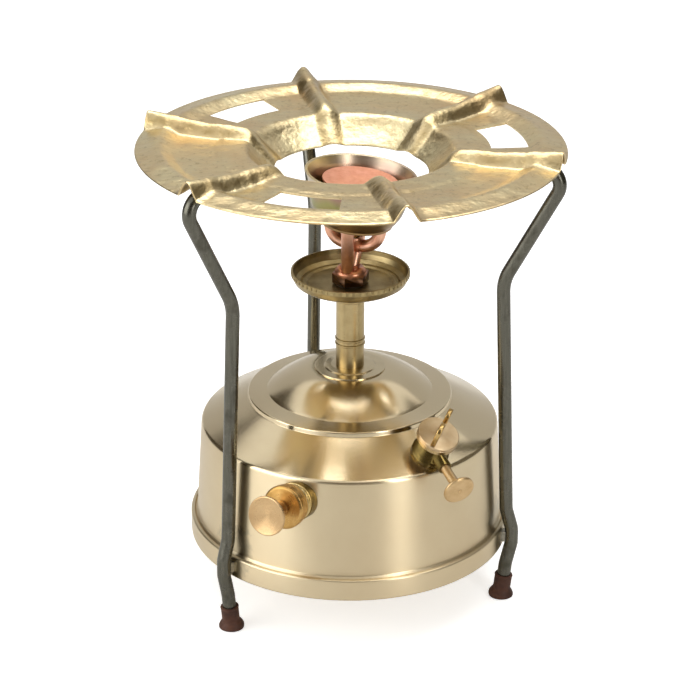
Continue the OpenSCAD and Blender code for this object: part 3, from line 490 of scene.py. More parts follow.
# ---- Fuel tank: the drawn shell -------------------------------------------------------------
# Wall, sloping shoulder, raised band and dome are one sheet of brass, drawn and then spun, so
# fine lines run round it. It is polished and lacquered, and mirrors the ring and cup above it.
wall_foot = skirt_radius - 3.4
wall_taper = 3.1
wall_top = wall_foot - wall_taper
shoulder_rise = 13.5
band_radius = 54.3
band_height = shoulder_height + shoulder_rise
band_top = band_height + 2.5
band_inside = 44.2
dome_start = band_inside - 0.5
dome_foot = band_top + 1.7
dome_rise = 11.5
dome_top = dome_foot + dome_rise
dome_steps = 24
collar_radius = 18.8
bush_radius = 9.5
shell_line = eased(
    [
        (skirt_radius - 0.85, skirt_bottom + sheet + 0.6),
        (skirt_radius - 0.85, skirt_top - 2.2, 0.8),
        (wall_foot, skirt_top + 0.6, 1.2),
        (wall_top, shoulder_height, 3),
        (band_radius + 1.4, band_height - 0.6, 0.8),
        (band_radius + 0.3, band_height, 0.3),
        (band_radius, band_top, 0.9),
        (band_inside, dome_foot - 0.5, 0.3),
        (dome_start, dome_foot, 0.2),
    ],
    steps=6,
)
for k in range(1, dome_steps + 1):
    share = k / dome_steps
    shell_line.append(
        (
            dome_start - (dome_start - collar_radius - 1) * share,
            dome_foot + dome_rise * (1 - (1 - share) ** 1.6),
        )
    )
shell_line.append((bush_radius + 0.05, dome_top))
finished(
    "tank_body", turned(walled(shell_line, sheet), steps=256), tank_brass, "stove", "tank_shell",
    slot="tank_brass",
)

# ---- Riser and its bush ---------------------------------------------------------------------
# A stout brass tube carries the burner. It is screwed into a turned bush that is soldered
# through the dome's top, and its outside has turned rings near its top and foot.
riser_radius = 7.5
riser_bore = 5
dip_bore = 4.05
riser_foot = dome_top - 7
riser_top = dome_top + 47.5
riser_rings = (14.25, 17.1, 39.5, 42.5, 45.5)
bush_section = eased(
    [
        (riser_radius + 0.05, riser_foot),
        (bush_radius, riser_foot),
        (bush_radius, dome_top),
        (collar_radius, dome_top),
        (collar_radius, dome_top + 0.8, 0.4),
        (13.9, dome_top + 0.8, 0.2),
        (13.2, dome_top + 1.5, 0.3),
        (10.2, dome_top + 1.9, 0.3),
        (riser_radius + 0.05, dome_top + 2),
    ]
)
collar_brass = turned_brass(
    "collar_brass", (218, 202, 168), (190, 170, 130), 0.22, stain_size=60.0
)
finished(
    "riser_collar", turned(bush_section), collar_brass, "stove", "riser_bush", slot="dull_brass"
)

riser_line = [(riser_radius, riser_foot)]
for ring in riser_rings:
    for offset, swell in ((-0.8, 0), (-0.35, 0.5), (0.35, 0.5), (0.8, 0)):
        riser_line.append((riser_radius + swell, dome_top + ring + offset))
riser_line += [
    (riser_radius, riser_top),
    (riser_bore, riser_top),
    (riser_bore, dome_top - 1),
    (dip_bore, dome_top - 1),
    (dip_bore, riser_foot),
]
old_brass = turned_brass(
    "old_brass", (186, 166, 122), (146, 124, 80), 0.28, stain_size=60.0, stain=0.7, bump=0.03
)
finished("riser", turned(riser_line), old_brass, "stove", "riser_tube", slot="dull_brass")

# ---- Spirit cup -----------------------------------------------------------------------------
# A shallow spun cup in which spirit is lit to warm the burner. It is clamped between the riser
# and the burner; its rim is rolled and serrated, and soot and heat have darkened it.
cup_seat = riser_top
cup_wall = 0.9
cup_floor = cup_seat + cup_wall
cup_rim = cup_floor + 6.9
cup_radius = 31.6
cup_line = eased(
    [
        (5.05, cup_seat),
        (cup_radius - 9.2, cup_seat, 0.6),
        (cup_radius - 8.0, cup_seat + 0.9, 0.5),
        (cup_radius - 6.6, cup_seat + 0.9, 0.5),
        (cup_radius - 5.2, cup_seat + 0.3, 0.8),
        (cup_radius - 2.2, cup_seat + 2.2, 2),
        (cup_radius - 0.8, cup_rim - 2.6, 1),
        (cup_radius - 0.4, cup_rim),
    ]
)
sooty_brass = turned_brass(
    "sooty_brass", (168, 150, 108), (110, 94, 60), 0.36, stain_size=70.0, stain=0.9, bump=0.04
)
finished(
    "spirit_cup_bowl", turned(walled(cup_line, cup_wall)), sooty_brass, "stove", "spirit_cup",
    slot="dull_brass",
)


def new_grower(name, inputs):
    """A Geometry Nodes tree with its named inputs, as it starts, and what closes it."""
    tree = bpy.data.node_groups.new(name, "GeometryNodeTree")
    for label, kind, value in (*inputs, ("Finish", "Material", None)):
        kind = "NodeSocket" + kind
        socket = tree.interface.new_socket(label, in_out="INPUT", socket_type=kind)
        if value is not None:
            socket.default_value = value
    tree.interface.new_socket("Geometry", in_out="OUTPUT", socket_type="NodeSocketGeometry")
    given = tree.nodes.new("NodeGroupInput").outputs
    sink = tree.nodes.new("NodeGroupOutput")

    def close(geometry):
        real = tree.nodes.new("GeometryNodeRealizeInstances")
        coat = tree.nodes.new("GeometryNodeSetMaterial")
        tree.links.new(geometry, real.inputs[0])
        tree.links.new(real.outputs[0], coat.inputs["Geometry"])
        tree.links.new(given["Finish"], coat.inputs["Material"])
        tree.links.new(coat.outputs[0], sink.inputs["Geometry"])

    return tree, given, close


def around_a_rim():
    """A tree that stands small blocks side by side round a circle."""
    tree, given, close = new_grower(
        "around_a_rim",
        (
            ("Count", "Int", 54),
            ("Radius", "Float", 0.03),
            ("Block", "Vector", (0.001, 0.001, 0.001)),
            ("Height", "Float", 0.0),
        ),
    )
    circle = tree.nodes.new("GeometryNodeMeshCircle")
    raised = tree.nodes.new("GeometryNodeSetPosition")
    lift = tree.nodes.new("ShaderNodeCombineXYZ")
    block = tree.nodes.new("GeometryNodeMeshCube")
    stand = tree.nodes.new("GeometryNodeInstanceOnPoints")
    index = tree.nodes.new("GeometryNodeInputIndex")
    spin = tree.nodes.new("ShaderNodeCombineXYZ")
    turn = math_node(tree, "DIVIDE", index.outputs[0], given["Count"])
    link = tree.links.new
    link(given["Count"], circle.inputs["Vertices"])
    link(given["Radius"], circle.inputs["Radius"])
    link(given["Height"], lift.inputs["Z"])
    link(circle.outputs["Mesh"], raised.inputs["Geometry"])
    link(lift.outputs[0], raised.inputs["Offset"])
    link(given["Block"], block.inputs["Size"])
    link(math_node(tree, "MULTIPLY", turn, 2 * math.pi), spin.inputs["Z"])
    link(raised.outputs[0], stand.inputs["Points"])
    link(block.outputs["Mesh"], stand.inputs["Instance"])
    link(spin.outputs[0], stand.inputs["Rotation"])
    close(stand.outputs[0])
    return tree


rim_tree = around_a_rim()


def evaluated(holder, place=None):
    """The plain mesh of an object with its modifiers; the object itself goes."""
    name = holder.name
    depsgraph = bpy.context.evaluated_depsgraph_get()
    mesh = bpy.data.meshes.new_from_object(holder.evaluated_get(depsgraph), depsgraph=depsgraph)
    bpy.data.objects.remove(holder)
    mesh.name = name
    if place:
        mesh.transform(place)
    return mesh


def grown(name, tree, values, place=None, base=None):
    """The plain mesh that a Geometry Nodes tree makes with these values."""
    holder = in_scene(name, base or bpy.data.meshes.new(name))
    modifier = holder.modifiers.new("grow", "NODES")
    modifier.node_group = tree
    sockets = {s.name: s.identifier for s in tree.interface.items_tree if s.in_out == "INPUT"}
    for label, value in values.items():
        modifier[sockets[label]] = value
    holder.update_tag()
    bpy.context.view_layer.update()
    return evaluated(holder, place)


def polished(name, clean, worn, rough, size=300.0):
    """Bare metal with no turned map: fine mottling in its colour and its polish."""
    material, tree, shader = new_finish(name, {"Metallic": 1.0})
    stains = grouped(tree, tarnish_group, {"Size": size, "Amount": 0.8})["Mask"]
    polish = math_node(tree, "MULTIPLY_ADD", stains, 0.12, rough)
    colour = mixed(tree, stains, linear(*clean), linear(*worn))
    dress(tree, shader, colour, polish, relief(tree, stains, 0.02))
    return material


rim_brass = polished("rim_brass", (178, 158, 112), (118, 100, 64), 0.34)
teeth = grown(
    "spirit_cup_teeth",
    rim_tree,
    {
        "Count": 60,
        "Radius": (cup_radius - 0.85) * mm,
        "Block": (1.1 * mm, 1.9 * mm, 2.0 * mm),
        "Height": (cup_rim - 1.0) * mm,
        "Finish": rim_brass,
    },
)
finished("spirit_cup_teeth", teeth, rim_brass, "stove", crease=30, slot="dull_brass")

# ---- Burner block ---------------------------------------------------------------------------
# The burner's foot is a hexagon for a spanner, coloured dark brown-black, under a round
# copper-coloured block that the rising tubes are brazed into.
burner_seat = cup_floor + 0.8
foot_height = 5.4
block_top = burner_seat + 8.2
burner_lean = math.radians(5.8)
burner_turn = math.radians(-18)
burner_place = (
    Matrix.Translation((0, 0, block_top * mm))
    @ Matrix.Rotation(burner_lean, 4, "Y")
    @ Matrix.Rotation(burner_turn, 4, "Z")
)


def smooth_copy(node, material, body, slot):
    """A CAD node's own shape with its points merged, so that its curves shade smoothly."""
    bm = bmesh.new()
    bm.from_mesh(nodes[node].data)
    bmesh.ops.remove_doubles(bm, verts=bm.verts, dist=0.002 * mm)
    finished(node + "_finish", as_mesh(bm, node), material, body, node, crease=30, slot=slot)


def heated_copper():
    """Copper that has been brazed and fired: warm above, dark brown-black on the hexagon below."""
    material = polished("heated_copper", (222, 156, 124), (140, 92, 68), 0.3, size=220.0)
    tree = material.node_tree
    place = own_place(tree)
    wander = noise(tree, place, 260.0)
    height = math_node(tree, "MULTIPLY_ADD", wander, 1.6 * mm, parted(tree, place)["Z"])
    # Below a wavy line at the top of the hexagon, the copper is coloured dark brown-black.
    dark_edge = burner_seat + foot_height
    dark_below = ramped(tree, height, (dark_edge + 1.6) * mm, (dark_edge - 0.2) * mm, 0.85)
    laid_over(material, dark_below, linear(66, 54, 38))
    return material


smooth_copy("burner_base", heated_copper(), "stove", slot="copper_tube")

# ---- Burner tubes ---------------------------------------------------------------------------
# Four drawn copper tubes: two rise from the block to the cup, and two come down from it again
# and turn in to the jet. They are bent cold and brazed, and heat has streaked them.
tube_pitch = 13.6
tube_root = 4.9
cup_lift = 24.9
jet_lift = cup_lift - 12
jet_reach = 3.8
loop_bend = 9.4
tube_radius = 3.3


def swept_round():
    """A tree that draws a round bar along a curve."""
    tree, given, close = new_grower(
        "swept_round",
        (("Path", "Geometry", None), ("Radius", "Float", 0.003), ("Sides", "Int", 32)),
    )
    path = tree.nodes.new("GeometryNodeMeshToCurve")
    section = tree.nodes.new("GeometryNodeCurvePrimitiveCircle")
    sweep = tree.nodes.new("GeometryNodeCurveToMesh")
    sweep.inputs["Fill Caps"].default_value = True
    link = tree.links.new
    link(given["Path"], path.inputs["Mesh"])
    link(given["Sides"], section.inputs["Resolution"])
    link(given["Radius"], section.inputs["Radius"])
    link(path.outputs[0], sweep.inputs["Curve"])
    link(section.outputs[0], sweep.inputs["Profile Curve"])
    close(sweep.outputs[0])
    return tree


bar_tree = swept_round()


def bar(name, points, radius, material, place, sides=32):
    """A round bar along points in millimetres."""
    path = bpy.data.meshes.new(name)
    path.from_pydata(
        [Vector(p) * mm for p in points], [(i, i + 1) for i in range(len(points) - 1)], []
    )
    values = {"Radius": radius * mm, "Sides": sides, "Finish": material}
    return grown(name, bar_tree, values, place, path)


copper_tube = polished("copper_tube", (240, 188, 158), (204, 142, 110), 0.3, size=120.0)
rising = Vector((0, tube_pitch - tube_root, cup_lift))
inward = [math.radians(5 * k) for k in range(19)]
loop_points = (
    [(tube_pitch, 0, cup_lift + 1)]
    + [
        (tube_pitch - loop_bend * (1 - math.cos(a)), 0, jet_lift + loop_bend * (1 - math.sin(a)))
        for a in inward
    ]
    + [(jet_reach, 0, jet_lift)]
)
root = Vector((0, tube_root, 0))
lean = rising.normalized()
rise_points = [root - 3 * lean, root + rising * 0.5, root + rising + lean]
for name, node, points, sides in (
    ("front_tube", "upright_front", rise_points, (1, -1, 1)),
    ("back_tube", "upright_back", rise_points, (1, 1, 1)),
    ("left_loop", "loop_left", loop_points, (-1, 1, 1)),
    ("right_loop", "loop_right", loop_points, (1, 1, 1)),
):
    points = [tuple(c * s for c, s in zip(point, sides)) for point in points]
    tube = bar(name, points, tube_radius, copper_tube, burner_place)
    finished(name, tube, copper_tube, "stove", node, slot="copper_tube")
worn_brass = polished("worn_brass", (196, 168, 104), (120, 98, 52), 0.25)
smooth_copy("jet_holder", copper_tube, "stove", slot="copper_tube")
smooth_copy("jet_nipple", worn_brass, "stove", slot="turned_brass")

# ---- Burner cup and flame disc --------------------------------------------------------------
# The cup is a spun and machined bowl over the tubes, tinted olive, grey and rose by the flame.
# A pressed copper disc stands in it on three legs and spreads the flame; it only rests there.
bell_radius = 29.3
bell_height = 27.5
bell_body = bell_radius - 4.6
bell_inner = bell_body - 2.0
bell_bore = 7.6
tint_low, tint_high = 205, 236
tint_wander = 12
bell_section = eased(
    [
        (bell_bore, 7),
        (bell_bore, 0),
        (19.3, 0, 0.6),
        (19.5, 1.4, 0.3),
        (bell_body - 3.3, 3.6, 3),
        (bell_body - 1.2, 7, 4),
        (bell_body, 10.6, 4),
        (bell_body + 0.8, 15, 6),
        (bell_body + 1.6, 19.4, 6),
        (bell_body + 2.8, 23, 6),
        (bell_radius - 0.5, bell_height - 1.2, 1.5),
        (bell_radius, bell_height - 0.8, 0.4),
        (bell_radius, bell_height - 0.1, 0.5),
        (bell_radius - 0.6, bell_height, 0.5),
        (bell_radius - 1.4, bell_height - 0.3, 0.6),
        (bell_radius - 2.1, bell_height - 1.8, 2),
        (bell_inner + 3.1, 23, 6),
        (bell_inner + 1.8, 19.4, 6),
        (bell_inner + 1, 15, 5),
        (bell_inner - 0.4, 11.4, 2),
        (bell_inner - 1.6, 10.2, 0.6),
        (17.8, 10.1, 0.5),
        (17.2, 9.4, 0.5),
        (10, 7.6, 2),
        (bell_bore, 7),
    ]
)[:-1]


def flame_tinted():
    """Brass that a flame has tinted: bands of olive, rose and grey follow its height."""
    material = turned_brass(
        "flame_tinted", (168, 148, 100), (120, 104, 92), 0.3, stain_size=45.0, stain=0.9
    )
    tree = material.node_tree
    place = own_place(tree)
    up = math_node(tree, "ADD", parted(tree, place)["Z"], -tint_wander / 2 * mm)
    wander = noise(tree, place, 38.0, detail=2.0)
    height = math_node(tree, "MULTIPLY_ADD", wander, tint_wander * mm, up)
    ramp = tree.nodes.new("ShaderNodeValToRGB")
    feed(tree, ramped(tree, height, tint_low * mm, tint_high * mm), ramp.inputs["Fac"])
    stops = ramp.color_ramp.elements
    stops[0].color = linear(150, 112, 74)
    stops[1].color = linear(205, 192, 160)
    for position, colour in (
        (0.35, (118, 98, 62)),
        (0.55, (150, 150, 92)),
        (0.72, (176, 138, 128)),
        (0.86, (196, 176, 160)),
    ):
        stops.new(position).color = linear(*colour)
    laid_over(material, 0.7, ramp.outputs["Color"])
    return material


bell_place = burner_place @ Matrix.Translation((0, 0, cup_lift * mm))
finished(
    "burner_bell", turned(bell_section, bell_place), flame_tinted(), "stove", "burner_cup",
    slot="heated_brass",
)

disc_radius = 19.9
disc_lift = 22.2
disc_section = eased(
    [
        (0, -1.2),
        (disc_radius * 0.45, -1.2, 10),
        (disc_radius * 0.8, -0.36, 10),
        (disc_radius - 0.5, 0, 0.2),
        (disc_radius, 0.5, 0.3),
        (disc_radius, 1.4, 0.4),
        (disc_radius - 0.4, 1.6, 0.3),
        (disc_radius * 0.8, 1.24, 10),
        (disc_radius * 0.45, 0.4, 10),
        (0, 0.4),
    ]
)
disc_copper = turned_brass(
    "disc_copper", (232, 168, 142), (206, 134, 106), 0.42, stain_size=260.0, stain=0.7,
    lines=600.0, bump=0.05,
)
disc_place = bell_place @ Matrix.Translation((0, 0, disc_lift * mm))
disc_mesh = turned(disc_section, disc_place)
finished(
    "flame_spreader", disc_mesh, disc_copper, "flame_disc", "flame_disc", slot="copper_disc"
)


def block(size, place):
    """A box's mesh with eased edges; its size is in millimetres."""
    bm = bmesh.new()
    bmesh.ops.create_cube(bm, size=1, matrix=Matrix.Diagonal((*[s * mm for s in size], 1)))
    bmesh.ops.bevel(
        bm, geom=bm.edges[:], offset=0.25 * mm, segments=2, profile=0.5, affect="EDGES"
    )
    bm.transform(place)
    return as_mesh(bm, "block")


bell_floor = 10.2
leg_size = (1.6, 3, 12.3)
leg_middle = Matrix.Translation(((disc_radius - 1) * mm, 0, (bell_floor + leg_size[2] / 2) * mm))
for k, angle in enumerate((30, 150, 270)):
    leg_place = bell_place @ Matrix.Rotation(math.radians(angle), 4, "Z") @ leg_middle
    finished(
        f"spreader_leg_{k + 1}", block(leg_size, leg_place), disc_copper, "flame_disc",
        slot="copper_disc",
    )

# ---- Filler ---------------------------------------------------------------------------------
# A turned neck is soldered square to the sloping shoulder. Its screwed cap seals on a washer,
# and a thin two-eared wing stands in a slot across the cap for the fingers.
shoulder_slope = math.atan(shoulder_rise / (wall_top - band_radius))
filler_distance = 69.3
filler_azimuth = math.radians(306.6)
filler_height = shoulder_height + (wall_top - filler_distance) * math.tan(shoulder_slope)
filler_base = round_axis(filler_distance, filler_azimuth, filler_height)


def leaning(base, azimuth, tilt):
    """A place in millimetres whose own axis tilts from upright, towards an azimuth."""
    return (
        Matrix.Translation(base * mm)
        @ Matrix.Rotation(azimuth, 4, "Z")
        @ Matrix.Rotation(tilt, 4, "Y")
    )


filler_place = leaning(filler_base, filler_azimuth, shoulder_slope)
dark_brass = polished("dark_brass", (132, 112, 62), (74, 62, 36), 0.25, size=160.0)
smooth_copy("filler_neck", dark_brass, "stove", slot="dull_brass")

cap_radius = 11.0
cap_plug = 5.85
cap_seat = 11.6
cap_top = cap_seat + 4.6
cap_section = eased(
    [
        (0, cap_seat - 6),
        (cap_plug, cap_seat - 6, 0.4),
        (cap_plug, cap_seat),
        (cap_radius - 0.2, cap_seat, 0.4),
        (cap_radius - 0.2, cap_seat + 2.5, 0.2),
        (cap_radius - 0.6, cap_seat + 2.8, 0.2),
        (cap_radius, cap_seat + 3.1, 0.2),
        (cap_radius, cap_top - 0.1, 0.5),
        (cap_radius - 0.6, cap_top, 0.4),
        (0, cap_top),
    ]
)
fine_brass = turned_brass(
    "fine_brass", (212, 188, 150), (190, 158, 116), 0.3, stain_size=150.0, stain=0.6,
    lines=2600.0, bump=0.03, brushed=0.6,
)
finished(
    "filler_cap_body", turned(cap_section, filler_place), fine_brass, "filler_cap", "filler_cap",
    slot="turned_brass",
)
knurl = grown(
    "filler_cap_knurl",
    rim_tree,
    {
        "Count": 72,
        "Radius": (cap_radius - 0.45) * mm,
        "Block": (0.5 * mm, 0.45 * mm, 2.0 * mm),
        "Height": (cap_seat + 1.35) * mm,
        "Finish": worn_brass,
    },
    filler_place,
)
finished("filler_cap_knurl", knurl, worn_brass, "filler_cap", slot="turned_brass")

wing_turn = math.radians(-55)
wing_half = cap_radius - 1
wing_height = 12.5
wing_sheet = 2.4
ear = 5.0
ear_centre = wing_half - ear + 1
ear_level = wing_height + 1 - ear
dip_level = wing_height + 1 - 3.4


def arc(x, y, radius, start, end, steps=14):
    """Points of an arc round (x, y), between two angles in degrees."""
    angles = [math.radians(start + (end - start) * k / steps) for k in range(steps + 1)]
    return [(x + radius * math.cos(a), y + radius * math.sin(a)) for a in angles]


def plate(outline, thickness, place, ease):
    """A flat plate with eased edges, from its outline in millimetres, standing in the XZ plane."""
    bm = bmesh.new()
    face = bm.faces.new([bm.verts.new((x * mm, -thickness / 2 * mm, z * mm)) for x, z in outline])
    extruded = bmesh.ops.extrude_face_region(bm, geom=[face])["geom"]
    moved = [v for v in extruded if isinstance(v, bmesh.types.BMVert)]
    bmesh.ops.translate(bm, verts=moved, vec=(0, thickness * mm, 0))
    bmesh.ops.recalc_face_normals(bm, faces=bm.faces)
    rim = [e for e in bm.edges if e.is_boundary or e.calc_face_angle(0) > 1.2]
    bmesh.ops.bevel(
        bm, geom=rim, offset=ease * mm, segments=3, profile=0.5, affect="EDGES", clamp_overlap=True
    )
    bm.transform(place)
    return as_mesh(bm, "plate")


wing_outline = (
    [(-wing_half, 0), (wing_half, 0), (wing_half, 1.05), (wing_half + 0.6, 2)]
    + arc(ear_centre, ear_level, ear, -10, 140)
    + arc(0, dip_level, 3.6, -50, -130, 8)
    + arc(-ear_centre, ear_level, ear, 40, 190)
    + [(-wing_half - 0.6, 2), (-wing_half, 1.05)]
)
wing_place = (
    filler_place
    @ Matrix.Translation((0, 0, (cap_top - 1) * mm))
    @ Matrix.Rotation(wing_turn, 4, "Z")
)
finished(
    "filler_wing_plate", plate(wing_outline, wing_sheet, wing_place, 0.5),
    polished("wing_brass", (198, 166, 108), (156, 124, 70), 0.22, size=70.0),
    "filler_cap", "filler_wing", slot="turned_brass",
)

# ---- Air screw ------------------------------------------------------------------------------
# A small screw in a stub on the filler's neck lets the pressure out. Its thin round head is
# turned from brass bar, with a centre mark left by the lathe.
stub_height = 4.6
stub_azimuth = math.radians(295)
stub_tilt = math.radians(90 + 18)
stub_base = filler_base + stub_height * (filler_place.to_3x3() @ Vector((0, 0, 1)))
air_place = leaning(stub_base, stub_azimuth, stub_tilt)
air_reach = 33.4
air_head = 8.3
air_section = eased(
    [
        (0, 8.5),
        (0.8, 8.5),
        (2.3, 10.1, 0.2),
        (2.7, 10.1, 0.2),
        (2.7, 15.4),
        (2.5, 15.8, 0.2),
        (2.5, air_reach - 2.9, 0.3),
        (2.9, air_reach - 2.4),
        (air_head - 1.2, air_reach - 2.4, 0.6),
        (air_head, air_reach - 1.6, 0.6),
        (air_head, air_reach - 0.6, 0.6),
        (air_head - 0.9, air_reach, 0.5),
        (1.3, air_reach, 0.2),
        (0.4, air_reach - 0.5, 0.2),
        (0, air_reach - 0.5),
    ]
)
head_brass = turned_brass(
    "head_brass", (210, 180, 134), (184, 148, 98), 0.34, stain_size=220.0, stain=0.6,
    lines=2400.0, bump=0.05, brushed=0.3,
)
finished(
    "air_screw_turned", turned(air_section, air_place), head_brass, "air_screw", "air_screw",
    slot="turned_brass",
)

# ---- Pump -----------------------------------------------------------------------------------
# The barrel is soldered into the wall through a boss. A screwed cap closes it round the rod,
# and the knob on the rod's end is turned from bar, with a hollow face.
pump_azimuth = math.radians(251)
pump_turn = math.radians(242)
pump_tilt = math.radians(90 - 9.5)
pump_height = 84.0
pump_wall = wall_foot - (pump_height - skirt_top) * wall_taper / (shoulder_height - skirt_top)
pump_base = round_axis(pump_wall, pump_azimuth, pump_height)
pump_place = leaning(pump_base, pump_turn, pump_tilt)
smooth_copy("pump_boss", dark_brass, "stove", slot="dull_brass")

barrel_radius = 8.5
barrel_bore = barrel_radius - 0.8
barrel_end = -72
flange_radius = 10.0
barrel_section = eased(
    [
        (barrel_bore, barrel_end),
        (barrel_radius, barrel_end),
        (barrel_radius, 3.42),
        (flange_radius, 3.42, 0.3),
        (flange_radius, 5.2, 0.1),
        (flange_radius - 0.5, 5.4, 0.1),
        (flange_radius, 5.7, 0.1),
        (flange_radius, 7.4, 0.3),
        (barrel_bore, 7.4),
        (barrel_bore, barrel_end),
    ]
)[:-1]
bright_brass = turned_brass(
    "bright_brass", (222, 202, 150), (150, 128, 78), 0.2, stain_size=130.0, stain=0.7,
    lines=2200.0, bump=0.04,
)
finished(
    "pump_barrel_tube", turned(barrel_section, pump_place), bright_brass, "stove", "pump_barrel",
    slot="gold_brass",
)

pump_cap_radius = 11.4
ribbed_radius = pump_cap_radius - 0.6
groove_radius = pump_cap_radius - 1
rod_hole = 2.48
screw_radius = 7.65
cap_foot = 8.2
cap_face = cap_foot + 9
pump_cap_section = eased(
    [
        (rod_hole, cap_face),
        (rod_hole, cap_face - 2.2),
        (5.7, cap_face - 2.2),
        (5.7, cap_foot - 6),
        (screw_radius, cap_foot - 6),
        (screw_radius, cap_foot),
        (pump_cap_radius - 0.9, cap_foot, 0.5),
        (ribbed_radius, cap_foot + 1.3, 0.1),
        (groove_radius, cap_foot + 1.6, 0.1),
        (ribbed_radius, cap_foot + 1.9, 0.1),
        (ribbed_radius, cap_foot + 2.7, 0.1),
        (groove_radius, cap_foot + 3.0, 0.1),
        (pump_cap_radius - 0.4, cap_foot + 3.5, 0.3),
        (pump_cap_radius, cap_foot + 4.3, 0.8),
        (pump_cap_radius, cap_face - 1.2, 0.9),
        (pump_cap_radius - 1.2, cap_face - 0.5, 0.9),
        (4, cap_face, 1),
        (rod_hole, cap_face),
    ]
)[:-1]
pump_brass = turned_brass(
    "pump_brass", (196, 156, 94), (160, 118, 56), 0.26, stain_size=130.0, stain=0.7,
    lines=2200.0, bump=0.05, brushed=0.4,
)
finished(
    "pump_cap_turned", turned(pump_cap_section, pump_place), pump_brass, "stove", "pump_cap",
    slot="gold_brass",
)

rod_radius = 2.4
rod_end_radius = 1.8
leather_seat = -55.8
knob_foot = cap_face + 0.6
knob_radius = 10.3
knob_end = knob_foot + 15.5
rod_section = eased(
    [
        (0, leather_seat - 11),
        (rod_end_radius, leather_seat - 11, 0.3),
        (rod_end_radius, leather_seat),
        (rod_radius, leather_seat),
        (rod_radius, knob_foot),
        (rod_end_radius, knob_foot),
        (rod_end_radius, knob_foot + 6),
        (0, knob_foot + 6),
    ]
)
finished(
    "pump_rod_turned", turned(rod_section, pump_place, steps=64), bright_brass, "pump_plunger",
    "pump_rod", slot="turned_brass",
)
knob_section = eased(
    [
        (0, knob_foot + 6.05),
        (rod_end_radius + 0.05, knob_foot + 6.05),
        (rod_end_radius + 0.05, knob_foot),
        (4.2, knob_foot, 0.4),
        (4.2, knob_foot + 2, 1.5),
        (4.8, knob_foot + 4.5, 3),
        (knob_radius - 3.4, knob_end - 4.6, 5),
        (knob_radius - 0.3, knob_end - 1.6, 1.2),
        (knob_radius, knob_end - 1.2, 0.4),
        (knob_radius, knob_end - 0.1, 0.5),
        (knob_radius - 0.6, knob_end, 0.3),
        (0, knob_end - 1.8),
    ]
)
knob_brass = turned_brass(
    "knob_brass", (200, 168, 124), (178, 142, 98), 0.26, stain_size=110.0, lines=2400.0,
    bump=0.04, brushed=0.7,
)
finished(
    "pump_knob_turned", turned(knob_section, pump_place), knob_brass, "pump_plunger", "pump_knob",
    slot="turned_brass",
)

# ---- Legs -----------------------------------------------------------------------------------
# Each leg is one drawn steel rod, bent cold and left bare. It kinks in under the skirt, where
# it is soldered on, and its top end is pinched in a ridge of the pot ring.
leg_radius = 3.6
kink = skirt_radius + 1.4 + leg_radius
foot_distance = 86.4
foot_lean = math.radians(6)
foot_out = 18 * math.tan(foot_lean)
leg_end, leg_first_bend = 2.6, 20
ring_level = 248.0
ring_radius = 111.0
leg_corners = [
    (foot_distance, leg_end),
    (foot_distance + foot_out, leg_first_bend, 24),
    (kink, skirt_bottom + 2.5, 10),
    (kink, skirt_top - 1.5, 10),
    (kink - 3.4, skirt_top + 10, 14),
    (82, 184, 24),
    (ring_radius + 4.2, ring_level - 0.2, 9),
    (79.5, ring_level - 0.2),
]


def stretched(tree, place, scale):
    """A place drawn out along an axis, for streaks."""
    node = tree.nodes.new("ShaderNodeMapping")
    node.inputs["Scale"].default_value = scale
    tree.links.new(place, node.inputs["Vector"])
    return node.outputs[0]


def drawn_steel():
    """Bare drawn rod: grey, faintly brown, with long streaks and a few rust freckles."""
    material, tree, shader = new_finish("drawn_steel", {"Metallic": 1.0})
    place = own_place(tree)
    streaks = noise(tree, stretched(tree, place, (1, 1, 0.08)), 900.0, detail=3.0)
    clouds = noise(tree, place, 90.0, detail=4.0)
    grey = mixed(tree, streaks, linear(80, 78, 69), linear(116, 114, 103))
    polish = math_node(tree, "MULTIPLY_ADD", clouds, 0.1, 0.22)
    dress(tree, shader, grey, polish, relief(tree, streaks, 0.03))
    laid_over(material, ramped(tree, clouds, 0.56, 0.7, 0.4), linear(52, 46, 36))
    return material


rod_steel = drawn_steel()
leg_points = [(r, 0, z) for r, z in eased(leg_corners, steps=14)]
leg_turns = {
    side: Matrix.Rotation(math.radians(first_leg + leg_pitch * k), 4, "Z")
    for k, side in enumerate(("back", "left", "right"))
}
for side, turn in leg_turns.items():
    rod = bar(f"{side}_leg_rod", leg_points, leg_radius, rod_steel, turn, sides=40)
    finished(f"{side}_leg_rod", rod, rod_steel, "stove", f"leg_{side}", slot="leg_steel")

# Soft solder holds the legs to the skirt: dull grey, and uneven where it was wiped.
soft_solder = polished("solder", (168, 166, 156), (118, 114, 102), 0.38, size=400.0)
smooth_copy("leg_solder", soft_solder, "stove", slot="solder")

# ---- Feet -----------------------------------------------------------------------------------
# A short boot of red-brown rubber is pushed on each leg's end. It flares to a flat sole, and
# it has hardened and cracked a little with age.
boot_radius = 4.7
boot_top = 10.4
sole_radius = 6.7
boot_section = eased(
    [
        (0, -4.6),
        (sole_radius - 0.6, -4.6),
        (sole_radius, -2.4, 0.5),
        (sole_radius, -1.2, 0.5),
        (sole_radius - 0.6, 0, 0.6),
        (boot_radius + 0.3, 1.6, 1),
        (boot_radius, 2.6, 1),
        (boot_radius, boot_top - 1, 0.3),
        (boot_radius + 0.25, boot_top - 0.6, 0.2),
        (boot_radius, boot_top, 0.3),
        (leg_radius + 0.05, boot_top),
        (leg_radius + 0.05, 0),
        (0, 0),
    ]
)
boot_lean = math.atan(foot_out / (leg_first_bend - leg_end))


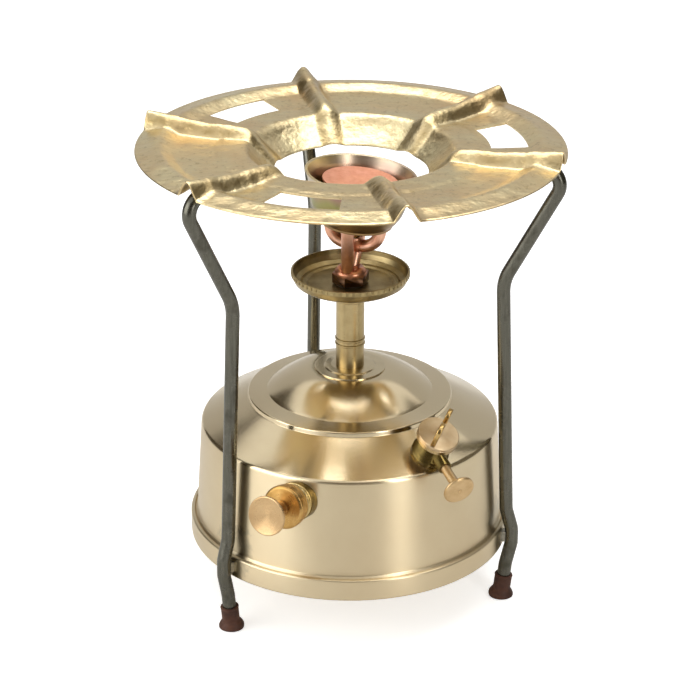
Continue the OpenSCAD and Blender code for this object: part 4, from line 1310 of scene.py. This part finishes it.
def old_rubber():
    """Rubber gone brown and dull, with grime in its cracks."""
    material, tree, shader = new_finish("old_rubber", {"Specular IOR Level": 0.35})
    place = own_place(tree)
    grime = noise(tree, place, 420.0, detail=5.0)
    spread = ramped(tree, noise(tree, place, 120.0), 0.35, 0.65)
    brown = mixed(tree, spread, linear(64, 38, 27), linear(88, 54, 38))
    dull = math_node(tree, "MULTIPLY_ADD", grime, 0.3, 0.45)
    dress(tree, shader, brown, dull, relief(tree, grime, 0.12))
    return material


foot_rubber = old_rubber()
for side, turn in leg_turns.items():
    place = (
        turn
        @ Matrix.Translation((foot_distance * mm, 0, leg_end * mm))
        @ Matrix.Rotation(boot_lean, 4, "Y")
    )
    bm = bmesh.new()
    bm.from_mesh(turned(boot_section, place, steps=64))
    bmesh.ops.bisect_plane(
        bm, geom=bm.verts[:] + bm.edges[:] + bm.faces[:], plane_co=(0, 0, 0),
        plane_no=(0, 0, -1), clear_outer=True,
    )
    bmesh.ops.holes_fill(bm, edges=[e for e in bm.edges if e.is_boundary])
    boot = as_mesh(bm, f"{side}_boot")
    finished(f"{side}_boot", boot, foot_rubber, "stove", f"foot_{side}", slot="foot_rubber")

# ---- Pot ring -------------------------------------------------------------------------------
# One disc of brass sheet, pressed to a beaded rim, a flat zone with three windows and a crest
# round the hole. Six ridges are pinched up across it to carry the pot; three hold the legs.
ring_sheet = 1.0
ridge_height = 8.5
ridge_half = 7.0
window_side = 17.5
window_inside, window_outside = 72.0, 91.0
hole_level = ring_level - 12.6
bead_radius = ring_radius - 11.5
bead_level = ring_level + 3
# Radius, height, and share of the ridge's height, from the hole to the rim
ring_rows = [
    (40, hole_level, 0.12),
    (44.5, hole_level + 3.8, 0.26),
    (49.5, hole_level + 8.1, 0.36),
    (53, ring_level - 0.8, 0.42),
    (55, ring_level + 0.2, 0.45),
    (57.3, ring_level + 0.3, 0.54),
    (62, ring_level + 0.1, 0.62),
    (67, ring_level, 0.67),
    (70.5, ring_level - 0.6, 0.74),
    (72, ring_level - 0.6, 0.75),
    (77, ring_level - 0.6, 0.72),
    (84, ring_level - 0.3, 0.78),
    (91, ring_level, 0.82),
    (bead_radius - 5, ring_level + 1.5, 0.74),
    (bead_radius - 2, ring_level + 2.75, 0.63),
    (bead_radius, bead_level, 0.6),
    (bead_radius + 4, bead_level - 0.84, 0.75),
    (bead_radius + 8, bead_level - 1.75, 0.9),
    (ring_radius - 0.5, bead_level - 2.2, 0.98),
    (ring_radius, bead_level - 2.7, 1),
]
ring_radii = (
    [40, 40.8, 42, 43.5, 45.5, 47.5, 49.5, 51.2, 52.4, 53.2, 53.9, 54.5, 55, 55.8, 57, 59]
    + [61, 63.5, 66, 67.5, 68.7, 69.8, 70.6, 72, 74, 76.5, 79, 81.5, 84, 86.5, 89, 91]
    + [92.5, 94, 95.5, 96.8, 97.8, 98.6, 99.5, 100.4, 101.4, 102.6, 104, 105.5, 107]
    + [108.3, 109.4, 110.1, 110.6, 110.85, 111]
)
ridge_columns = 12
side_columns = 6
window_columns = 20


def between(rows, radius):
    """The height and the ridge's share at a radius, on a smooth curve through the rows."""
    last = len(rows) - 1
    i = max(k for k in range(last) if rows[k][0] <= radius)

    def slope(k, part):
        a, b = rows[max(k - 1, 0)], rows[min(k + 1, last)]
        return (b[part] - a[part]) / (b[0] - a[0])

    step = rows[i + 1][0] - rows[i][0]
    s = (radius - rows[i][0]) / step
    return [
        (2 * s**3 - 3 * s**2 + 1) * rows[i][part]
        + (s**3 - 2 * s**2 + s) * step * slope(i, part)
        + (3 * s**2 - 2 * s**3) * rows[i + 1][part]
        + (s**3 - s**2) * step * slope(i + 1, part)
        for part in (1, 2)
    ]


def ridge_lift(offset):
    """Height share of a pinched ridge at a sideways offset from its crest."""
    s = abs(offset) / ridge_half
    return math.cos(math.pi / 2 * s) ** 1.2 if s < 1 else 0.0


def sector_angles(radius):
    """Angles of one ring's points in one sixth of it: close over the ridge, even beyond."""
    ridge = [
        math.degrees(math.asin(ridge_half * k / ridge_columns / radius))
        for k in range(ridge_columns + 1)
    ]
    edge = ridge[-1]
    side = [edge + (window_side - edge) * k / side_columns for k in range(1, side_columns)]
    window = [
        window_side + (60 - 2 * window_side) * k / window_columns
        for k in range(window_columns + 1)
    ]
    first_half = ridge + side
    return first_half + window + [60 - a for a in reversed(first_half[1:])]


def ring_points():
    """Rows of the ring's top surface, from the hole out over the bead to the rim."""
    rows = []
    for radius in ring_radii:
        row = []
        height, share = between(ring_rows, radius)
        for sixth in range(6):
            for angle in sector_angles(radius):
                lift = ridge_lift(radius * math.sin(math.radians(min(angle, 60 - angle))))
                turn = math.radians(first_leg + 60 * sixth + angle)
                z = height + ridge_height * share * lift
                # The fourth value is the share of painted shade: most halfway up the folds' flanks,
                # none on crests or flat sheet.
                row.append(
                    (radius * math.cos(turn), radius * math.sin(turn), z, 4 * lift * (1 - lift))
                )
        rows.append(row)
    return rows


def pressed_ring():
    """The sheet with its windows; a mark on its points tells the folds' flanks, which get painted
    shade, from crests.
    """
    rows = ring_points()
    columns = len(rows[0])
    per_sixth = columns // 6
    first_window = ridge_columns + side_columns
    bm = bmesh.new()
    # Each point keeps its share of the painted shade on the folds' flanks.
    flank_shade = bm.verts.layers.float.new("flank_shade")
    grid = []
    for row in rows:
        line = []
        for x, y, z, mark in row:
            vert = bm.verts.new((x * mm, y * mm, z * mm))
            vert[flank_shade] = mark
            line.append(vert)
        grid.append(line)
    for i in range(len(grid) - 1):
        in_window_row = window_inside <= ring_radii[i] < window_outside
        for k in range(columns):
            column, sixth = k % per_sixth, k // per_sixth
            in_window = first_window <= column < first_window + window_columns
            if in_window_row and in_window and sixth % 2 == 0:
                continue
            beside = (k + 1) % columns
            bm.faces.new((grid[i][k], grid[i + 1][k], grid[i + 1][beside], grid[i][beside]))
    bmesh.ops.delete(bm, geom=[v for v in bm.verts if not v.link_faces], context="VERTS")
    bmesh.ops.recalc_face_normals(bm, faces=bm.faces)
    holder = in_scene("pot_ring_sheet", as_mesh(bm, "pot_ring_sheet"))
    thick = holder.modifiers.new("thickness", "SOLIDIFY")
    thick.thickness = ring_sheet * mm
    thick.offset = -1
    ease = holder.modifiers.new("eased", "BEVEL")
    ease.width = 0.3 * mm
    ease.segments = 2
    ease.limit_method = "ANGLE"
    ease.angle_limit = math.radians(50)
    return evaluated(holder)


def pressed_brass():
    """Pressed brass sheet: rolling streaks, cloudy lacquer, specks, and painted olive shade on the
    folds' flanks.
    """
    material, tree, shader = new_finish("pressed_brass", {"Metallic": 1.0})
    place = own_place(tree)
    drawn_out = stretched(tree, place, (0.12, 1, 1))
    streaks = noise(tree, drawn_out, 420.0, detail=4.0, roughness=0.65)
    rolled = mixed(tree, streaks, linear(208, 190, 146), linear(230, 216, 174))
    polish = math_node(tree, "MULTIPLY_ADD", streaks, 0.14, 0.24)
    dents = relief(tree, noise(tree, place, 95.0, detail=3.0), 1.4, strength=0.7)
    fine = relief(tree, streaks, 0.1)
    feed(tree, dents.outputs["Normal"], fine.inputs["Normal"])
    dress(tree, shader, rolled, polish, fine)
    clouds = grouped(tree, tarnish_group, {"Size": 26.0, "Amount": 0.75})["Mask"]
    laid_over(material, clouds, linear(216, 182, 132))
    specks = noise(tree, place, 310.0, detail=6.0, roughness=0.7)
    laid_over(material, ramped(tree, specks, 0.54, 0.68, 0.6), linear(164, 140, 92))
    # Painted shade: an olive colour laid in patches over the folds' flanks.
    folds = tree.nodes.new("ShaderNodeAttribute")
    folds.attribute_name = "flank_shade"
    patchy = ramped(tree, noise(tree, place, 60.0, detail=3.0), 0.3, 0.7)
    patchy = math_node(tree, "MULTIPLY_ADD", patchy, 0.5, 0.25)
    olive = math_node(tree, "MULTIPLY", folds.outputs["Fac"], patchy)
    laid_over(material, olive, linear(146, 122, 72))
    return material


finished(
    "pot_ring_sheet", pressed_ring(), pressed_brass(), "stove", "pot_ring", crease=50,
    slot="ring_brass",
)

# ---- What is left of the frame --------------------------------------------------------------
# Washers, the plunger and the valve hardly show or are sealed in the tank; they keep their own
# shapes and take a plain finish of their material.


def soft_washer():
    """Oiled leather or fibre: dark brown, with a fine grain."""
    material, tree, shader = new_finish("soft_washer", {"Roughness": 0.7})
    grain = noise(tree, own_place(tree), 700.0, detail=4.0)
    brown = mixed(tree, grain, linear(42, 34, 26), linear(82, 66, 48))
    feed(tree, brown, shader.inputs["Base Color"])
    return material


washer_finish = soft_washer()
for name, node in nodes.items():
    if node.hide_render:
        continue
    finish = washer_finish if "gasket" in name or "leather" in name else worn_brass
    node.data.materials.clear()
    node.data.materials.append(finish)
